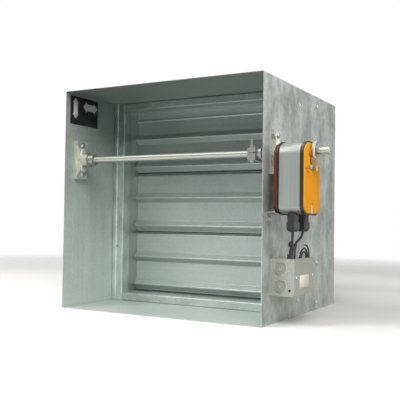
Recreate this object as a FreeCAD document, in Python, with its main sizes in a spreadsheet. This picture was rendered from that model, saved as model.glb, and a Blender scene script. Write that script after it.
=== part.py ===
import FreeCAD, Part
import math
import os
import Sketcher

# Combination fire smoke damper for an 18 in square duct, with its sleeve, jackshaft and actuator.
# Frame: origin at the centre of the sleeve's underside, +Z up, +X along the jackshaft to the
# actuator, +Y with the air, from the open front end to the back end. Millimetres and degrees.

SIZES = [
    # Sleeve
    ("sleeve_width", 457.2),
    ("sleeve_height", 457.2),
    ("sleeve_depth", 406.4),
    ("sleeve_wall", 1.0),
    ("sheet_bend", 1.0),
    # Channel frame inside the sleeve
    ("frame_setback", 171.2),
    ("frame_depth", 127.0),
    ("frame_wall", 1.6),
    ("frame_lip", 22.0),
    ("frame_bend", 1.4),
    ("jamb_rib", 9.0),
    ("jamb_rib_rise", 2.5),
    ("jamb_width", 28.0),
    ("head_height", 18.0),
    # Blades
    ("blade_axis_back", 53.2),
    ("blade_wall", 1.6),
    ("blade_bend", 1.2),
    ("vee_depth", 11.5),
    ("lip_vee_drop", 64.3),
    ("lip_hem", 1.5),
    ("tab_height", 8.0),
    ("tab_offset", 3.4),
    ("blade_overlap", 3.0),
    ("sill_clear", 1.5),
    ("head_clear", 2.2),
    ("blade_end_gap", 0.4),
    ("axle_radius", 6.35),
    ("axle_grip", 60.0),
    ("axle_end_chamfer", 1.0),
    ("axle_strap_in", 41.0),
    ("axle_strap_width", 28.0),
    ("axle_strap_wall", 2.0),
    ("axle_strap_foot", 11.0),
    # Seals and stops
    ("edge_seal_drop", 3.2),
    ("edge_seal_front", 0.5),
    ("edge_seal_back", 1.4),
    ("jamb_seal_bow", 3.0),
    ("jamb_seal_half", 27.0),
    ("jamb_seal_flat", 15.0),
    ("jamb_seal_wall", 0.6),
    ("jamb_seal_hole_gap", 1.5),
    ("stop_wall", 1.6),
    ("stop_foot", 15.0),
    ("head_stop_drop", 22.2),
    ("head_stop_gap", 0.8),
    ("sill_stop_rise", 21.0),
    ("sill_stop_gap", 0.4),
    ("hem_radius", 3.6),
    # Bushes and linkage in the right jamb
    ("bush_wall", 3.2),
    ("bush_flange_rim", 2.5),
    ("bush_flange", 2.0),
    ("running_gap", 0.05),
    ("crank_gap", 0.3),
    ("crank_plate", 4.0),
    ("crank_hub_wall", 5.2),
    ("arm_half", 9.0),
    ("tie_radius", 30.0),
    ("tie_angle", 45.0),
    ("drive_radius", 40.0),
    ("drive_angle", 25.6),
    ("link_half", 8.0),
    ("link_plate", 4.0),
    ("link_gap", 1.0),
    ("tie_gap", 2.5),
    ("pivot_gap", 0.3),
    ("pin_radius", 4.0),
    ("pin_end_play", 0.4),
    ("pin_rim", 2.5),
    ("pin_head", 1.2),
    ("link_slot_half", 19.0),
    ("link_slot_side", 2.0),
    # Jackshaft and its crank
    ("shaft_radius", 6.35),
    ("shaft_ahead", 125.0),
    ("shaft_below", 62.0),
    ("shaft_left_gap", 5.6),
    ("shaft_beyond", 32.7),
    ("tip_length", 14.0),
    ("tip_groove", 1.0),
    ("tip_groove_depth", 0.3),
    ("hub_width", 16.0),
    ("hub_front", 15.5),
    ("hub_back", 12.0),
    ("hub_below", 14.0),
    ("hub_above", 9.5),
    ("hub_split", 1.6),
    ("hub_boss_wall", 4.8),
    ("clamp_bolt_radius", 3.0),
    ("clamp_bolt_wall", 1.2),
    ("clamp_bolt_rise", 25.0),
    ("clamp_bolt_head", 4.0),
    ("nut_half", 5.0),
    ("nut_height", 5.0),
    # Jackshaft bearings, collar and thrust washer
    ("bearing_half_height", 40.5),
    ("bearing_half_width", 17.5),
    ("bearing_plate", 3.0),
    ("bearing_rib", 6.0),
    ("bearing_neck_half", 9.5),
    ("bearing_neck_rise", 24.0),
    ("bearing_ear", 8.5),
    ("bearing_hub_wall", 6.2),
    ("bearing_left_reach", 28.1),
    ("bearing_right_reach", 14.0),
    ("bearing_bolt_rise", 31.75),
    ("bolt_radius", 3.2),
    ("bolt_hole_gap", 0.2),
    ("dome_radius", 6.2),
    ("dome_height", 3.6),
    ("bolt_tail", 2.0),
    ("washer_radius", 15.0),
    ("washer_plate", 2.5),
    ("washer_gap", 0.5),
    ("collar_radius", 12.0),
    ("collar_width", 12.0),
    ("collar_screw_radius", 2.5),
    ("collar_screw_depth", 1.5),
    # Actuator
    ("actuator_standoff", 17.4),
    ("back_cover", 7.0),
    ("back_bezel", 2.5),
    ("actuator_body_depth", 41.3),
    ("front_bezel", 5.5),
    ("front_cover", 2.0),
    ("actuator_half", 42.5),
    ("actuator_height", 131.0),
    ("actuator_above", 16.5),
    ("actuator_corner", 16.0),
    ("body_inset", 2.0),
    ("cover_inset", 3.0),
    ("body_round", 1.5),
    ("cover_round", 0.8),
    ("hub_sleeve_wall", 2.4),
    ("hub_sleeve_gap", 0.3),
    ("hub_sleeve_out", 2.0),
    ("notch_width", 9.0),
    ("notch_height", 20.5),
    ("peg_hole_radius", 2.6),
    ("peg_hole_side", 10.0),
    ("peg_hole_below", 34.0),
    ("lever_slot_half", 2.4),
    ("lever_slot_length", 24.0),
    ("lever_slot_reach", 16.0),
    # Clamp that holds the actuator's hub to the jackshaft
    ("clamp_tilt", 32.0),
    ("u_bolt_bend", 15.0),
    ("u_bolt_wire", 3.0),
    ("u_bolt_leg", 31.0),
    ("jaw_depth", 14.0),
    ("jaw_half", 21.0),
    ("jaw_height", 15.0),
    ("jaw_bite", 3.0),
    ("jaw_skin", 1.5),
    ("jaw_cap_half", 6.0),
    # Strap that keeps the actuator from turning
    ("strap_wall", 2.0),
    ("strap_ahead", 31.0),
    ("strap_width", 24.0),
    ("strap_foot", 17.0),
    ("strap_tab", 14.0),
    ("strap_rise", 6.0),
    # Cable glands
    ("gland_spread", 25.5),
    ("gland_offset", 2.0),
    ("gland_stub_radius", 7.0),
    ("gland_stub_top", 16.0),
    ("gland_collar_drop", 2.0),
    ("gland_radius", 9.8),
    ("gland_body", 14.5),
    ("gland_nut_half", 10.8),
    ("gland_nut", 17.0),
    ("gland_nut_taper", 6.0),
    ("gland_nose_radius", 7.6),
    ("lead_fit", 0.1),
    # Junction box
    ("box_depth", 46.0),
    ("box_width", 101.6),
    ("box_height", 66.7),
    ("box_ahead", 12.0),
    ("box_bottom", 53.5),
    ("box_wall", 1.6),
    ("box_cover", 1.6),
    ("box_cover_round", 3.0),
    ("knockout_radius", 11.1),
    ("knockout_gap", 0.1),
    ("knockout_inset", 0.4),
    ("knockout_rise", 15.65),
    ("knockout_out", 20.9),
    # Leads and wires
    ("lead_radius", 2.3),
    ("lead_bushing_radius", 6.0),
    ("lead_bushing_height", 9.0),
    ("entry_inset", 3.0),
    ("entry_back", 0.5),
    ("wire_radius", 1.5),
    ("wire_inside", 5.0),
    ("outer_wire_front", 79.5),
    ("outer_wire_back", 5.5),
    ("middle_wire_front", 56.0),
    ("middle_wire_back", 14.0),
    ("inner_wire_front", 48.0),
    ("inner_wire_back", 21.0),
]

doc = FreeCAD.newDocument("damper")
sheet = doc.addObject("Spreadsheet::Sheet", "Sizes")
for line, (alias, number) in enumerate(SIZES, 1):
    sheet.set("A%d" % line, alias)
    sheet.set("B%d" % line, str(number))
    sheet.setAlias("B%d" % line, alias)
doc.recompute()


class Size:
    """A number together with the sheet formula that gives it"""

    def __init__(self, value, formula):
        self.value = float(value)
        self.formula = formula

    def __add__(self, other):
        other = size(other)
        return Size(self.value + other.value, "(%s + %s)" % (self.formula, other.formula))

    def __sub__(self, other):
        other = size(other)
        return Size(self.value - other.value, "(%s - %s)" % (self.formula, other.formula))

    def __mul__(self, other):
        other = size(other)
        return Size(self.value * other.value, "(%s * %s)" % (self.formula, other.formula))

    def __truediv__(self, other):
        other = size(other)
        return Size(self.value / other.value, "(%s / %s)" % (self.formula, other.formula))

    def __neg__(self):
        return Size(-self.value, "(0 - %s)" % self.formula)

    def __radd__(self, other):
        return size(other) + self

    def __rsub__(self, other):
        return size(other) - self

    def __rmul__(self, other):
        return size(other) * self


def size(number):
    if isinstance(number, Size):
        return number
    return Size(number, "(%r)" % float(number))


def cell(alias):
    return Size(sheet.get(alias), "Sizes.%s" % alias)


def cosine(angle):
    return Size(math.cos(math.radians(angle.value)), "cos(%s * 1 deg)" % angle.formula)


def sine(angle):
    return Size(math.sin(math.radians(angle.value)), "sin(%s * 1 deg)" % angle.formula)


def root(number):
    return Size(math.sqrt(number.value), "sqrt(%s)" % number.formula)


def bind(thing, path, number):
    thing.setExpression(path, size(number).formula)


def derived(alias, number):
    """A size that follows from others, kept as a formula in a cell of its own"""
    line = len(DERIVED) + len(SIZES) + 2
    DERIVED.append(alias)
    sheet.set("A%d" % line, alias)
    sheet.set("B%d" % line, "=" + number.formula.replace("Sizes.", ""))
    sheet.setAlias("B%d" % line, alias)
    return Size(number.value, "Sizes.%s" % alias)


S = {alias: cell(alias) for alias, number in SIZES}
DERIVED = []
ZERO = size(0)
NODES = {}
PLANES = {"XY": "XY_Plane", "XZ": "XZ_Plane", "YZ": "YZ_Plane"}
TURNS = {
    "+X": FreeCAD.Rotation(),
    "-X": FreeCAD.Rotation(FreeCAD.Vector(0, 0, 1), 180),
    "+Y": FreeCAD.Rotation(FreeCAD.Vector(0, 0, 1), 90),
    "-Y": FreeCAD.Rotation(FreeCAD.Vector(0, 0, 1), -90),
    "+Z": FreeCAD.Rotation(FreeCAD.Vector(0, 1, 0), -90),
    "-Z": FreeCAD.Rotation(FreeCAD.Vector(0, 1, 0), 90),
}
SIDES = (("left", -1.0, "-X"), ("right", 1.0, "+X"))


def node(name, thing):
    """The finished sub-part, under the name that its file gets"""
    thing.Label = name
    NODES[name] = thing
    return thing


def place(thing, at, turn=None):
    if turn is not None:
        thing.Placement = FreeCAD.Placement(FreeCAD.Vector(), turn)
    for letter, number in zip("xyz", at):
        bind(thing, ".Placement.Base.%s" % letter, number)
    return thing


def new_sketch(body, plane, lift):
    sketch = body.newObject("Sketcher::SketchObject", body.Name + "_sketch")
    support = [f for f in body.Origin.OriginFeatures if f.Role == PLANES[plane]][0]
    sketch.AttachmentSupport = [(support, "")]
    sketch.MapMode = "FlatFace"
    bind(sketch, ".AttachmentOffset.Base.z", lift)
    return sketch


def short_arc(start, end, radius):
    """The anticlockwise arc between two corners: it bulges to the right of the way from start to
    end, or to the left for a negative radius"""
    if radius < 0:
        start, end = end, start
    along = end - start
    half = along.Length / 2
    rise = abs(radius) - math.sqrt(max(radius * radius - half * half, 0.0))
    side = FreeCAD.Vector(along.y, -along.x, 0).normalize()
    return Part.Arc(start, (start + end) * 0.5 + side * rise, end)


def add_outline(sketch, corners):
    """A closed outline of lines and arcs. A corner's third value is the radius of the arc after it"""
    spots = [FreeCAD.Vector(size(c[0]).value, size(c[1]).value, 0) for c in corners]
    pieces = []
    for corner, start, end in zip(corners, spots, spots[1:] + spots[:1]):
        if len(corner) == 3:
            pieces.append(short_arc(start, end, size(corner[2]).value))
        else:
            pieces.append(Part.LineSegment(start, end))
    ids = list(sketch.addGeometry(pieces, False))
    ends = []
    for i, own in enumerate(ids):
        first, last = 1, 2
        if len(corners[i]) == 3:
            geometry = sketch.Geometry[own]
            if (geometry.StartPoint - spots[i]).Length > (geometry.EndPoint - spots[i]).Length:
                first, last = 2, 1
        ends.append((own, first, last))
    rows = []
    bound = []
    for i, (own, first, last) in enumerate(ends):
        after, after_first, after_last = ends[(i + 1) % len(ends)]
        rows.append(Sketcher.Constraint("Coincident", own, last, after, after_first))
    for (own, first, last), corner in zip(ends, corners):
        for kind, value in (("DistanceX", size(corner[0])), ("DistanceY", size(corner[1]))):
            bound.append((len(rows), value))
            rows.append(Sketcher.Constraint(kind, -1, 1, own, first, value.value))
        if len(corner) == 3:
            radius = size(corner[2])
            if radius.value < 0:
                radius = -radius
            bound.append((len(rows), radius))
            rows.append(Sketcher.Constraint("Radius", own, radius.value))
    offset = sketch.ConstraintCount
    sketch.addConstraint(rows)
    for index, value in bound:
        bind(sketch, "Constraints[%d]" % (offset + index), value)


def add_circle(sketch, x, y, radius):
    x, y, radius = size(x), size(y), size(radius)
    centre = FreeCAD.Vector(x.value, y.value, 0)
    own = sketch.addGeometry(Part.Circle(centre, FreeCAD.Vector(0, 0, 1), radius.value), False)
    for kind, value in (("DistanceX", x), ("DistanceY", y)):
        index = sketch.addConstraint(Sketcher.Constraint(kind, -1, 1, own, 3, value.value))
        bind(sketch, "Constraints[%d]" % index, value)
    index = sketch.addConstraint(Sketcher.Constraint("Radius", own, radius.value))
    bind(sketch, "Constraints[%d]" % index, radius)


def padded(name, plane, start, end, corners, holes=()):
    """A plate or section: an outline in a plane, padded from start to end along its normal.
    The normal of the XZ plane points to -Y, so start and end are measured that way there"""
    body = doc.addObject("PartDesign::Body", name)
    sketch = new_sketch(body, plane, start)
    add_outline(sketch, corners)
    for x, y, radius in holes:
        add_circle(sketch, x, y, radius)
    pad = body.newObject("PartDesign::Pad", name + "_pad")
    pad.Profile = sketch
    bind(pad, "Length", end - start)
    doc.recompute()
    return body


def round_rims(body, faces_x, radius):
    """Rounds the outer rim of a padded plate where it lies at one of the given X"""
    pad = body.Tip
    edges = []
    for i, edge in enumerate(pad.Shape.Edges, 1):
        box = edge.BoundBox
        on_rim = any(abs(box.XMin - x) < 1e-6 and abs(box.XMax - x) < 1e-6 for x in faces_x)
        closed_hole = len(edge.Vertexes) == 1
        if on_rim and not closed_hole:
            edges.append("Edge%d" % i)
    fillet = body.newObject("PartDesign::Fillet", body.Name + "_rim")
    fillet.Base = (pad, edges)
    bind(fillet, "Radius", radius)
    doc.recompute()
    return body


def turned(name, at, way, corners):
    """A turned piece: corners are (distance along the axis, radius), turned about the axis"""
    body = doc.addObject("PartDesign::Body", name)
    sketch = new_sketch(body, "XY", ZERO)
    add_outline(sketch, corners)
    turn = body.newObject("PartDesign::Revolution", name + "_turn")
    turn.Profile = sketch
    turn.ReferenceAxis = (sketch, ["H_Axis"])
    turn.Angle = 360
    place(body, at, TURNS[way])
    doc.recompute()
    return body


def block(name, low, high):
    thing = doc.addObject("Part::Box", name)
    for path, a, b in zip(("Length", "Width", "Height"), low, high):
        bind(thing, path, size(b) - a)
    return place(thing, low)


def rod(name, at, way, radius, length):
    """A round bar that starts at a point and runs the given way"""
    thing = doc.addObject("Part::Cylinder", name)
    bind(thing, "Radius", radius)
    bind(thing, "Height", length)
    upright = FreeCAD.Rotation(FreeCAD.Vector(0, 1, 0), 90)
    return place(thing, at, TURNS[way].multiply(upright))


def joined(name, pieces):
    thing = doc.addObject("Part::MultiFuse", name)
    thing.Shapes = pieces
    return thing


def cut_from(name, base, tools):
    tool = tools[0]
    if len(tools) > 1:
        tool = doc.addObject("Part::Compound", name + "_tools")
        tool.Links = tools
    thing = doc.addObject("Part::Cut", name)
    thing.Base = base
    thing.Tool = tool
    return thing


def shared(name, first, second):
    thing = doc.addObject("Part::Common", name)
    thing.Base = first
    thing.Tool = second
    return thing


def group(name, pieces):
    thing = doc.addObject("Part::Compound", name)
    thing.Links = pieces
    return node(name, thing)


def rounded(low_x, high_x, low_y, high_y, radius):
    """The outline of a rectangle with round corners, anticlockwise"""
    return [
        (low_x + radius, low_y),
        (high_x - radius, low_y, radius),
        (high_x, low_y + radius),
        (high_x, high_y - radius, radius),
        (high_x - radius, high_y),
        (low_x + radius, high_y, radius),
        (low_x, high_y - radius),
        (low_x, low_y + radius, radius),
    ]


def bar(p, q, half):
    """The outline of a flat bar with round ends about the points p and q, anticlockwise"""
    run_x, run_y = size(q[0]) - p[0], size(q[1]) - p[1]
    length = root(run_x * run_x + run_y * run_y)
    ux, uy = run_x / length * half, run_y / length * half
    return [
        (p[0] + uy, p[1] - ux),
        (q[0] + uy, q[1] - ux, half),
        (q[0] + ux, q[1] + uy, half),
        (q[0] - uy, q[1] + ux),
        (p[0] - uy, p[1] + ux, half),
        (p[0] - ux, p[1] - uy, half),
    ]


def bent_sheet(corners, wall, bend):
    """The outline of a folded sheet: corners are its left face, and bend is the radius inside a fold"""
    values = [FreeCAD.Vector(size(c[0]).value, size(c[1]).value, 0) for c in corners]
    ways = [(b - a).normalize() for a, b in zip(values, values[1:])]
    left = [(size(corners[0][0]), size(corners[0][1]))]
    right = [(corners[0][0] + ways[0].y * wall, corners[0][1] - ways[0].x * wall)]
    for corner, before, after in zip(corners[1:-1], ways, ways[1:]):
        turn = math.atan2(before.cross(after).z, before.dot(after))
        open_x, open_y = before.y + after.y, -before.x - after.x
        share = 1 / (1 + before.dot(after))
        far = (corner[0] + wall * (open_x * share), corner[1] + wall * (open_y * share))
        for points, middle, outside in ((left, corner, turn < 0), (right, far, turn > 0)):
            radius = bend + wall if outside else size(bend)
            cut = radius * math.tan(abs(turn) / 2)
            near = (middle[0] - cut * before.x, middle[1] - cut * before.y)
            past = (middle[0] + cut * after.x, middle[1] + cut * after.y)
            points.append((near, past, radius if turn > 0 else -radius))
    left.append((size(corners[-1][0]), size(corners[-1][1])))
    right.append((corners[-1][0] + ways[-1].y * wall, corners[-1][1] - ways[-1].x * wall))
    outline = [left[0]]
    for near, past, radius in left[1:-1]:
        outline += [(near[0], near[1], radius), past]
    outline.append(left[-1])
    outline.append(right[-1])
    for near, past, radius in reversed(right[1:-1]):
        outline += [(past[0], past[1], -radius), near]
    outline.append(right[0])
    return outline


# Places worked out from the sizes
HALF_WIDTH = derived("half_width", S["sleeve_width"] / 2)
HALF_DEPTH = derived("half_depth", S["sleeve_depth"] / 2)
INNER_X = derived("inner_x", HALF_WIDTH - S["sleeve_wall"])
INNER_TOP = derived("inner_top", S["sleeve_height"] - S["sleeve_wall"])
FRAME_FRONT = derived("frame_front", S["frame_setback"] - HALF_DEPTH)
FRAME_BACK = derived("frame_back", FRAME_FRONT + S["frame_depth"])
WEB_X = derived("web_x", INNER_X - S["jamb_width"])
WEB_OUT = derived("web_out", WEB_X + S["frame_wall"])
SILL_TOP = derived("sill_top", S["sleeve_wall"] + S["head_height"])
HEAD_BOTTOM = derived("head_bottom", INNER_TOP - S["head_height"])

# Three equal blades share the opening. Each laps the one above it, where the seal lies
BLADE_COUNT = 3
OPENING = derived("opening", HEAD_BOTTOM - SILL_TOP)
BLADE_HEIGHT = derived("blade_height", (OPENING - S["sill_clear"] - S["head_clear"]
                                        + S["blade_overlap"] * (BLADE_COUNT - 1)) / BLADE_COUNT)
PITCH = derived("pitch", BLADE_HEIGHT - S["blade_overlap"])
HEM_DROP = derived("hem_drop", S["lip_vee_drop"] + S["vee_depth"] + S["lip_hem"])
SEAL_DROP = derived("seal_drop", HEM_DROP + S["edge_seal_drop"])
TAB_TOP = derived("tab_top", BLADE_HEIGHT - SEAL_DROP)
AXIS_Y = derived("axis_y", FRAME_FRONT + S["blade_axis_back"])
BLADE_NAMES = ["bottom", "middle", "top"]
AXES_Z = [derived("axis_%s" % name, SILL_TOP + S["sill_clear"] + SEAL_DROP + PITCH * i)
          for i, name in enumerate(BLADE_NAMES)]
BLADE_END = derived("blade_end", WEB_X - S["jamb_seal_bow"] - S["blade_end_gap"])
# The axle lies in the vee and touches both of its slopes
FACE_Y = derived("face_y", AXIS_Y + S["vee_depth"] - (S["blade_wall"] + S["axle_radius"]) * math.sqrt(2))

# The linkage stands in layers in the right jamb: cranks, drive link, tie bar
CRANK_X = derived("crank_x", WEB_OUT + S["bush_flange"] + S["crank_gap"])
CRANK_OUT = derived("crank_out", CRANK_X + S["crank_plate"])
LINK_X = derived("link_x", CRANK_OUT + S["link_gap"])
LINK_OUT = derived("link_out", LINK_X + S["link_plate"])
TIE_X = derived("tie_x", LINK_OUT + S["tie_gap"])
TIE_OUT = derived("tie_out", TIE_X + S["link_plate"])
DRIVE_Y = derived("drive_y", S["drive_radius"] * cosine(S["drive_angle"]))
DRIVE_Z = derived("drive_z", -S["drive_radius"] * sine(S["drive_angle"]))
TIE_Y = derived("tie_y", S["tie_radius"] * cosine(S["tie_angle"]))
TIE_Z = derived("tie_z", S["tie_radius"] * sine(S["tie_angle"]))

# Jackshaft and actuator
SHAFT_Y = derived("shaft_y", FRAME_FRONT - S["shaft_ahead"])
SHAFT_Z = derived("shaft_z", AXES_Z[-1] - S["shaft_below"])
ACT_BACK = derived("act_back", HALF_WIDTH + S["actuator_standoff"])
ACT_BODY = derived("act_body", ACT_BACK + S["back_cover"] + S["back_bezel"])
ACT_BODY_OUT = derived("act_body_out", ACT_BODY + S["actuator_body_depth"])
ACT_COVER = derived("act_cover", ACT_BODY_OUT + S["front_bezel"])
ACT_FACE = derived("act_face", ACT_COVER + S["front_cover"])
ACT_TOP = derived("act_top", SHAFT_Z + S["actuator_above"])
ACT_LOW = derived("act_low", ACT_TOP - S["actuator_height"])
HUB_RADIUS = derived("hub_radius", S["shaft_radius"] + S["hub_sleeve_wall"])
HUB_FACE = derived("hub_face", ACT_FACE + S["hub_sleeve_out"])
SHAFT_LEFT = derived("shaft_left", S["shaft_left_gap"] - INNER_X)
SHAFT_RIGHT = derived("shaft_right", ACT_FACE + S["shaft_beyond"])
COLLAR_X = derived("collar_x", S["bearing_left_reach"] - INNER_X + S["washer_gap"] + S["washer_plate"])

# Junction box
BOX_OUT = derived("box_out", HALF_WIDTH + S["box_depth"])
BOX_FRONT = derived("box_front", SHAFT_Y - S["box_ahead"])
BOX_BACK = derived("box_back", BOX_FRONT + S["box_width"])
BOX_LOW = S["box_bottom"]
BOX_TOP = derived("box_top", BOX_LOW + S["box_height"])
BOX_MID = derived("box_mid", BOX_LOW + S["box_height"] / 2)


doc.recompute()


# Sleeve: two bent sheets that meet at opposite corners
def sleeve():
    wall = S["sleeve_wall"]
    lower = padded("lower_sheet", "XZ", -HALF_DEPTH, HALF_DEPTH, folded_corner("left"))
    upper = padded("upper_sheet", "XZ", -HALF_DEPTH, HALF_DEPTH, folded_corner("right"))
    node("sleeve_lower", cut_from("lower_cut", lower, wall_holes("left")))
    shaft_hole = rod("sleeve_shaft_hole", (INNER_X - wall, SHAFT_Y, SHAFT_Z), "+X",
                     S["shaft_radius"] + S["bearing_hub_wall"] / 2, wall * 3)
    node("sleeve_upper", cut_from("upper_cut", upper, wall_holes("right") + [shaft_hole]))


def folded_corner(side):
    """The left wall with the floor, or the right wall with the roof, as one folded section"""
    faces = [(-HALF_WIDTH, INNER_TOP), (-HALF_WIDTH, ZERO), (INNER_X, ZERO)]
    if side == "right":
        faces = [(HALF_WIDTH, ZERO), (HALF_WIDTH, S["sleeve_height"]), (-HALF_WIDTH, S["sleeve_height"])]
    return bent_sheet(faces[::-1], S["sleeve_wall"], S["sheet_bend"])


def wall_holes(side):
    """Holes in a side wall for the two bolts of the jackshaft's bearing"""
    sign = -1.0 if side == "left" else 1.0
    way = "-X" if side == "left" else "+X"
    start = (INNER_X - S["sleeve_wall"]) * sign
    return [rod("sleeve_bolt_hole", (start, SHAFT_Y, z), way, S["bolt_radius"] + S["bolt_hole_gap"],
                S["sleeve_wall"] * 3) for z in bearing_bolt_heights()]


def bearing_bolt_heights():
    return [SHAFT_Z - S["bearing_bolt_rise"], SHAFT_Z + S["bearing_bolt_rise"]]


# Frame: channels with the web to the opening, two legs to the sleeve and lips against it
def channel_faces(base, web, rise):
    """Outer face of a channel across the air, from the front lip to the back one. Base lies on the
    sleeve and web faces the opening. The front leg stands forward by rise next to the sleeve"""
    near, far, lip = FRAME_FRONT, FRAME_BACK, S["frame_lip"]
    faces = [(near + lip, base), (near - rise, base)]
    if rise.value > 0:
        rib = S["jamb_rib"] * (1.0 if web.value > base.value else -1.0)
        slope = rise * (1.0 if web.value > base.value else -1.0)
        faces += [(near - rise, base + rib), (near, base + rib + slope)]
    return faces + [(near, web), (far, web), (far, base), (far - lip, base)]


def channel_outline(base, web, rise, across):
    """Folded section of a channel, with the sheet inside its faces. Across swaps the two axes"""
    faces = channel_faces(base, web, rise)
    if across:
        faces = [(y, x) for x, y in faces]
    if (web.value > base.value) == across:
        faces = faces[::-1]
    return bent_sheet(faces, S["frame_wall"], S["frame_bend"])


def frame():
    for name, base, web in (("sill", S["sleeve_wall"], SILL_TOP), ("head", INNER_TOP, HEAD_BOTTOM)):
        node("frame_" + name, padded(name, "YZ", -WEB_X, WEB_X, channel_outline(base, web, ZERO, False)))
    for side, sign, way in SIDES:
        section = channel_outline(INNER_X * sign, WEB_X * sign, S["jamb_rib_rise"], True)
        jamb = padded("jamb_%s_channel" % side, "XY", S["sleeve_wall"], INNER_TOP, section)
        cuts = [rod("jamb_hole", ((WEB_X - S["frame_wall"]) * sign, AXIS_Y, z), way,
                    S["axle_radius"] + S["bush_wall"], S["frame_wall"] * 3) for z in AXES_Z]
        if side == "right":
            cuts.append(link_slot())
        node("frame_jamb_%s" % side, cut_from("jamb_%s_cut" % side, jamb, cuts))


def link_slot():
    """Slot in the jamb's front leg, centred on the height at which the link swings through it"""
    slope = (AXES_Z[-1] - SHAFT_Z) / (AXIS_Y - SHAFT_Y)
    at_rest = SHAFT_Z + DRIVE_Z + (FRAME_FRONT - SHAFT_Y - DRIVE_Y) * slope
    centre = at_rest - S["link_half"] * 0.75
    wall, side = S["frame_wall"], S["link_slot_side"]
    return block("link_slot", (LINK_X - side, FRAME_FRONT - wall, centre - S["link_slot_half"]),
                 (LINK_OUT + side, FRAME_FRONT + wall * 2, centre + S["link_slot_half"]))


# Blades: a folded sheet with a vee for the axles, a vee at the lower lip and a set-back upper tab
def blade_faces(z):
    vee, drop, step = S["vee_depth"], S["lip_vee_drop"], S["tab_offset"]
    fold = TAB_TOP - S["tab_height"]
    faces = [
        (ZERO, -HEM_DROP),
        (ZERO, -(drop + vee)),
        (-vee, -drop),
        (ZERO, vee - drop),
        (ZERO, -vee),
        (-vee, ZERO),
        (ZERO, vee),
        (ZERO, fold),
        (step, fold + step),
        (step, TAB_TOP),
    ]
    return [(FACE_Y + y, z + up) for y, up in faces]


def blades():
    for name, z in zip(BLADE_NAMES, AXES_Z):
        outline = bent_sheet(blade_faces(z), S["blade_wall"], S["blade_bend"])
        node("blade_%s" % name, padded("blade_%s_sheet" % name, "YZ", -BLADE_END, BLADE_END, outline))
        node("blade_seal_%s" % name, edge_seal(name, z))
        inner = BLADE_END - S["axle_grip"]
        right = turned("axle_right_%s" % name, (inner, AXIS_Y, z), "+X",
                       shaft_outline(S["axle_radius"], CRANK_OUT - inner))
        left = turned("axle_left_%s" % name, (-inner, AXIS_Y, z), "-X",
                      shaft_outline(S["axle_radius"], CRANK_OUT - inner))
        group("blade_axles_%s" % name, [left, right])
        group("axle_straps_%s" % name, [axle_strap(name, z, -1.0), axle_strap(name, z, 1.0)])


def edge_seal(name, z):
    """Rubber strip that clips on the hem and closes on the tab of the blade below"""
    wall, front, back = S["blade_wall"], S["edge_seal_front"], S["edge_seal_back"]
    top, hem, low = z - HEM_DROP + S["lip_hem"], z - HEM_DROP, z - SEAL_DROP
    return padded("seal_%s" % name, "YZ", -BLADE_END, BLADE_END, [
        (FACE_Y - front, low + front),
        (FACE_Y, low),
        (FACE_Y + wall, low),
        (FACE_Y + wall + back, low + back),
        (FACE_Y + wall + back, top - back),
        (FACE_Y + wall, top - back),
        (FACE_Y + wall, hem),
        (FACE_Y, hem),
        (FACE_Y - front, hem),
    ])


def axle_strap(name, z, sign):
    """Hat-shaped strap that holds an axle down in the vee, with a foot on each flat"""
    wall, reach = S["axle_strap_wall"], S["axle_radius"]
    back = FACE_Y + S["blade_wall"]
    crown = AXIS_Y + reach
    inner = reach * math.tan(math.radians(22.5))
    rise = crown - back
    knee = inner + rise
    outer = inner + wall * math.tan(math.radians(22.5))
    end = knee + S["axle_strap_foot"]
    middle = (BLADE_END - S["axle_strap_in"]) * sign
    half = S["axle_strap_width"] / 2
    upper = [
        (back, z + end),
        (back, z + knee),
        (crown, z + inner),
    ]
    lower = [(y, z * 2 - up) for y, up in reversed(upper)]
    outer_lower = [
        (back + wall, z - end),
        (back + wall, z - knee - wall * math.tan(math.radians(22.5))),
        (crown + wall, z - outer),
    ]
    outer_upper = [(y, z * 2 - up) for y, up in reversed(outer_lower)]
    return padded("strap_%s" % name, "YZ", middle - half, middle + half,
                  upper + lower + outer_lower + outer_upper)


def shaft_outline(radius, length):
    """Half section of a plain rod with its far end chamfered"""
    cut = S["axle_end_chamfer"]
    return [(ZERO, ZERO), (length, ZERO), (length, radius - cut), (length - cut, radius), (ZERO, radius)]


def ring_outline(start, end, inner, outer):
    return [(start, inner), (end, inner), (end, outer), (start, outer)]


# Bushes in the jamb webs, with the flange in the jamb's hollow
def bushes():
    made = []
    bore = S["axle_radius"] + S["running_gap"]
    outer = S["axle_radius"] + S["bush_wall"]
    web, flange = S["frame_wall"], S["bush_flange"]
    for side, sign, way in SIDES:
        for z in AXES_Z:
            made.append(turned("bush", (WEB_X * sign, AXIS_Y, z), way, [
                (ZERO, bore),
                (web + flange, bore),
                (web + flange, outer + S["bush_flange_rim"]),
                (web, outer + S["bush_flange_rim"]),
                (web, outer),
                (ZERO, outer),
            ]))
    group("axle_bushes", made)


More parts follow.
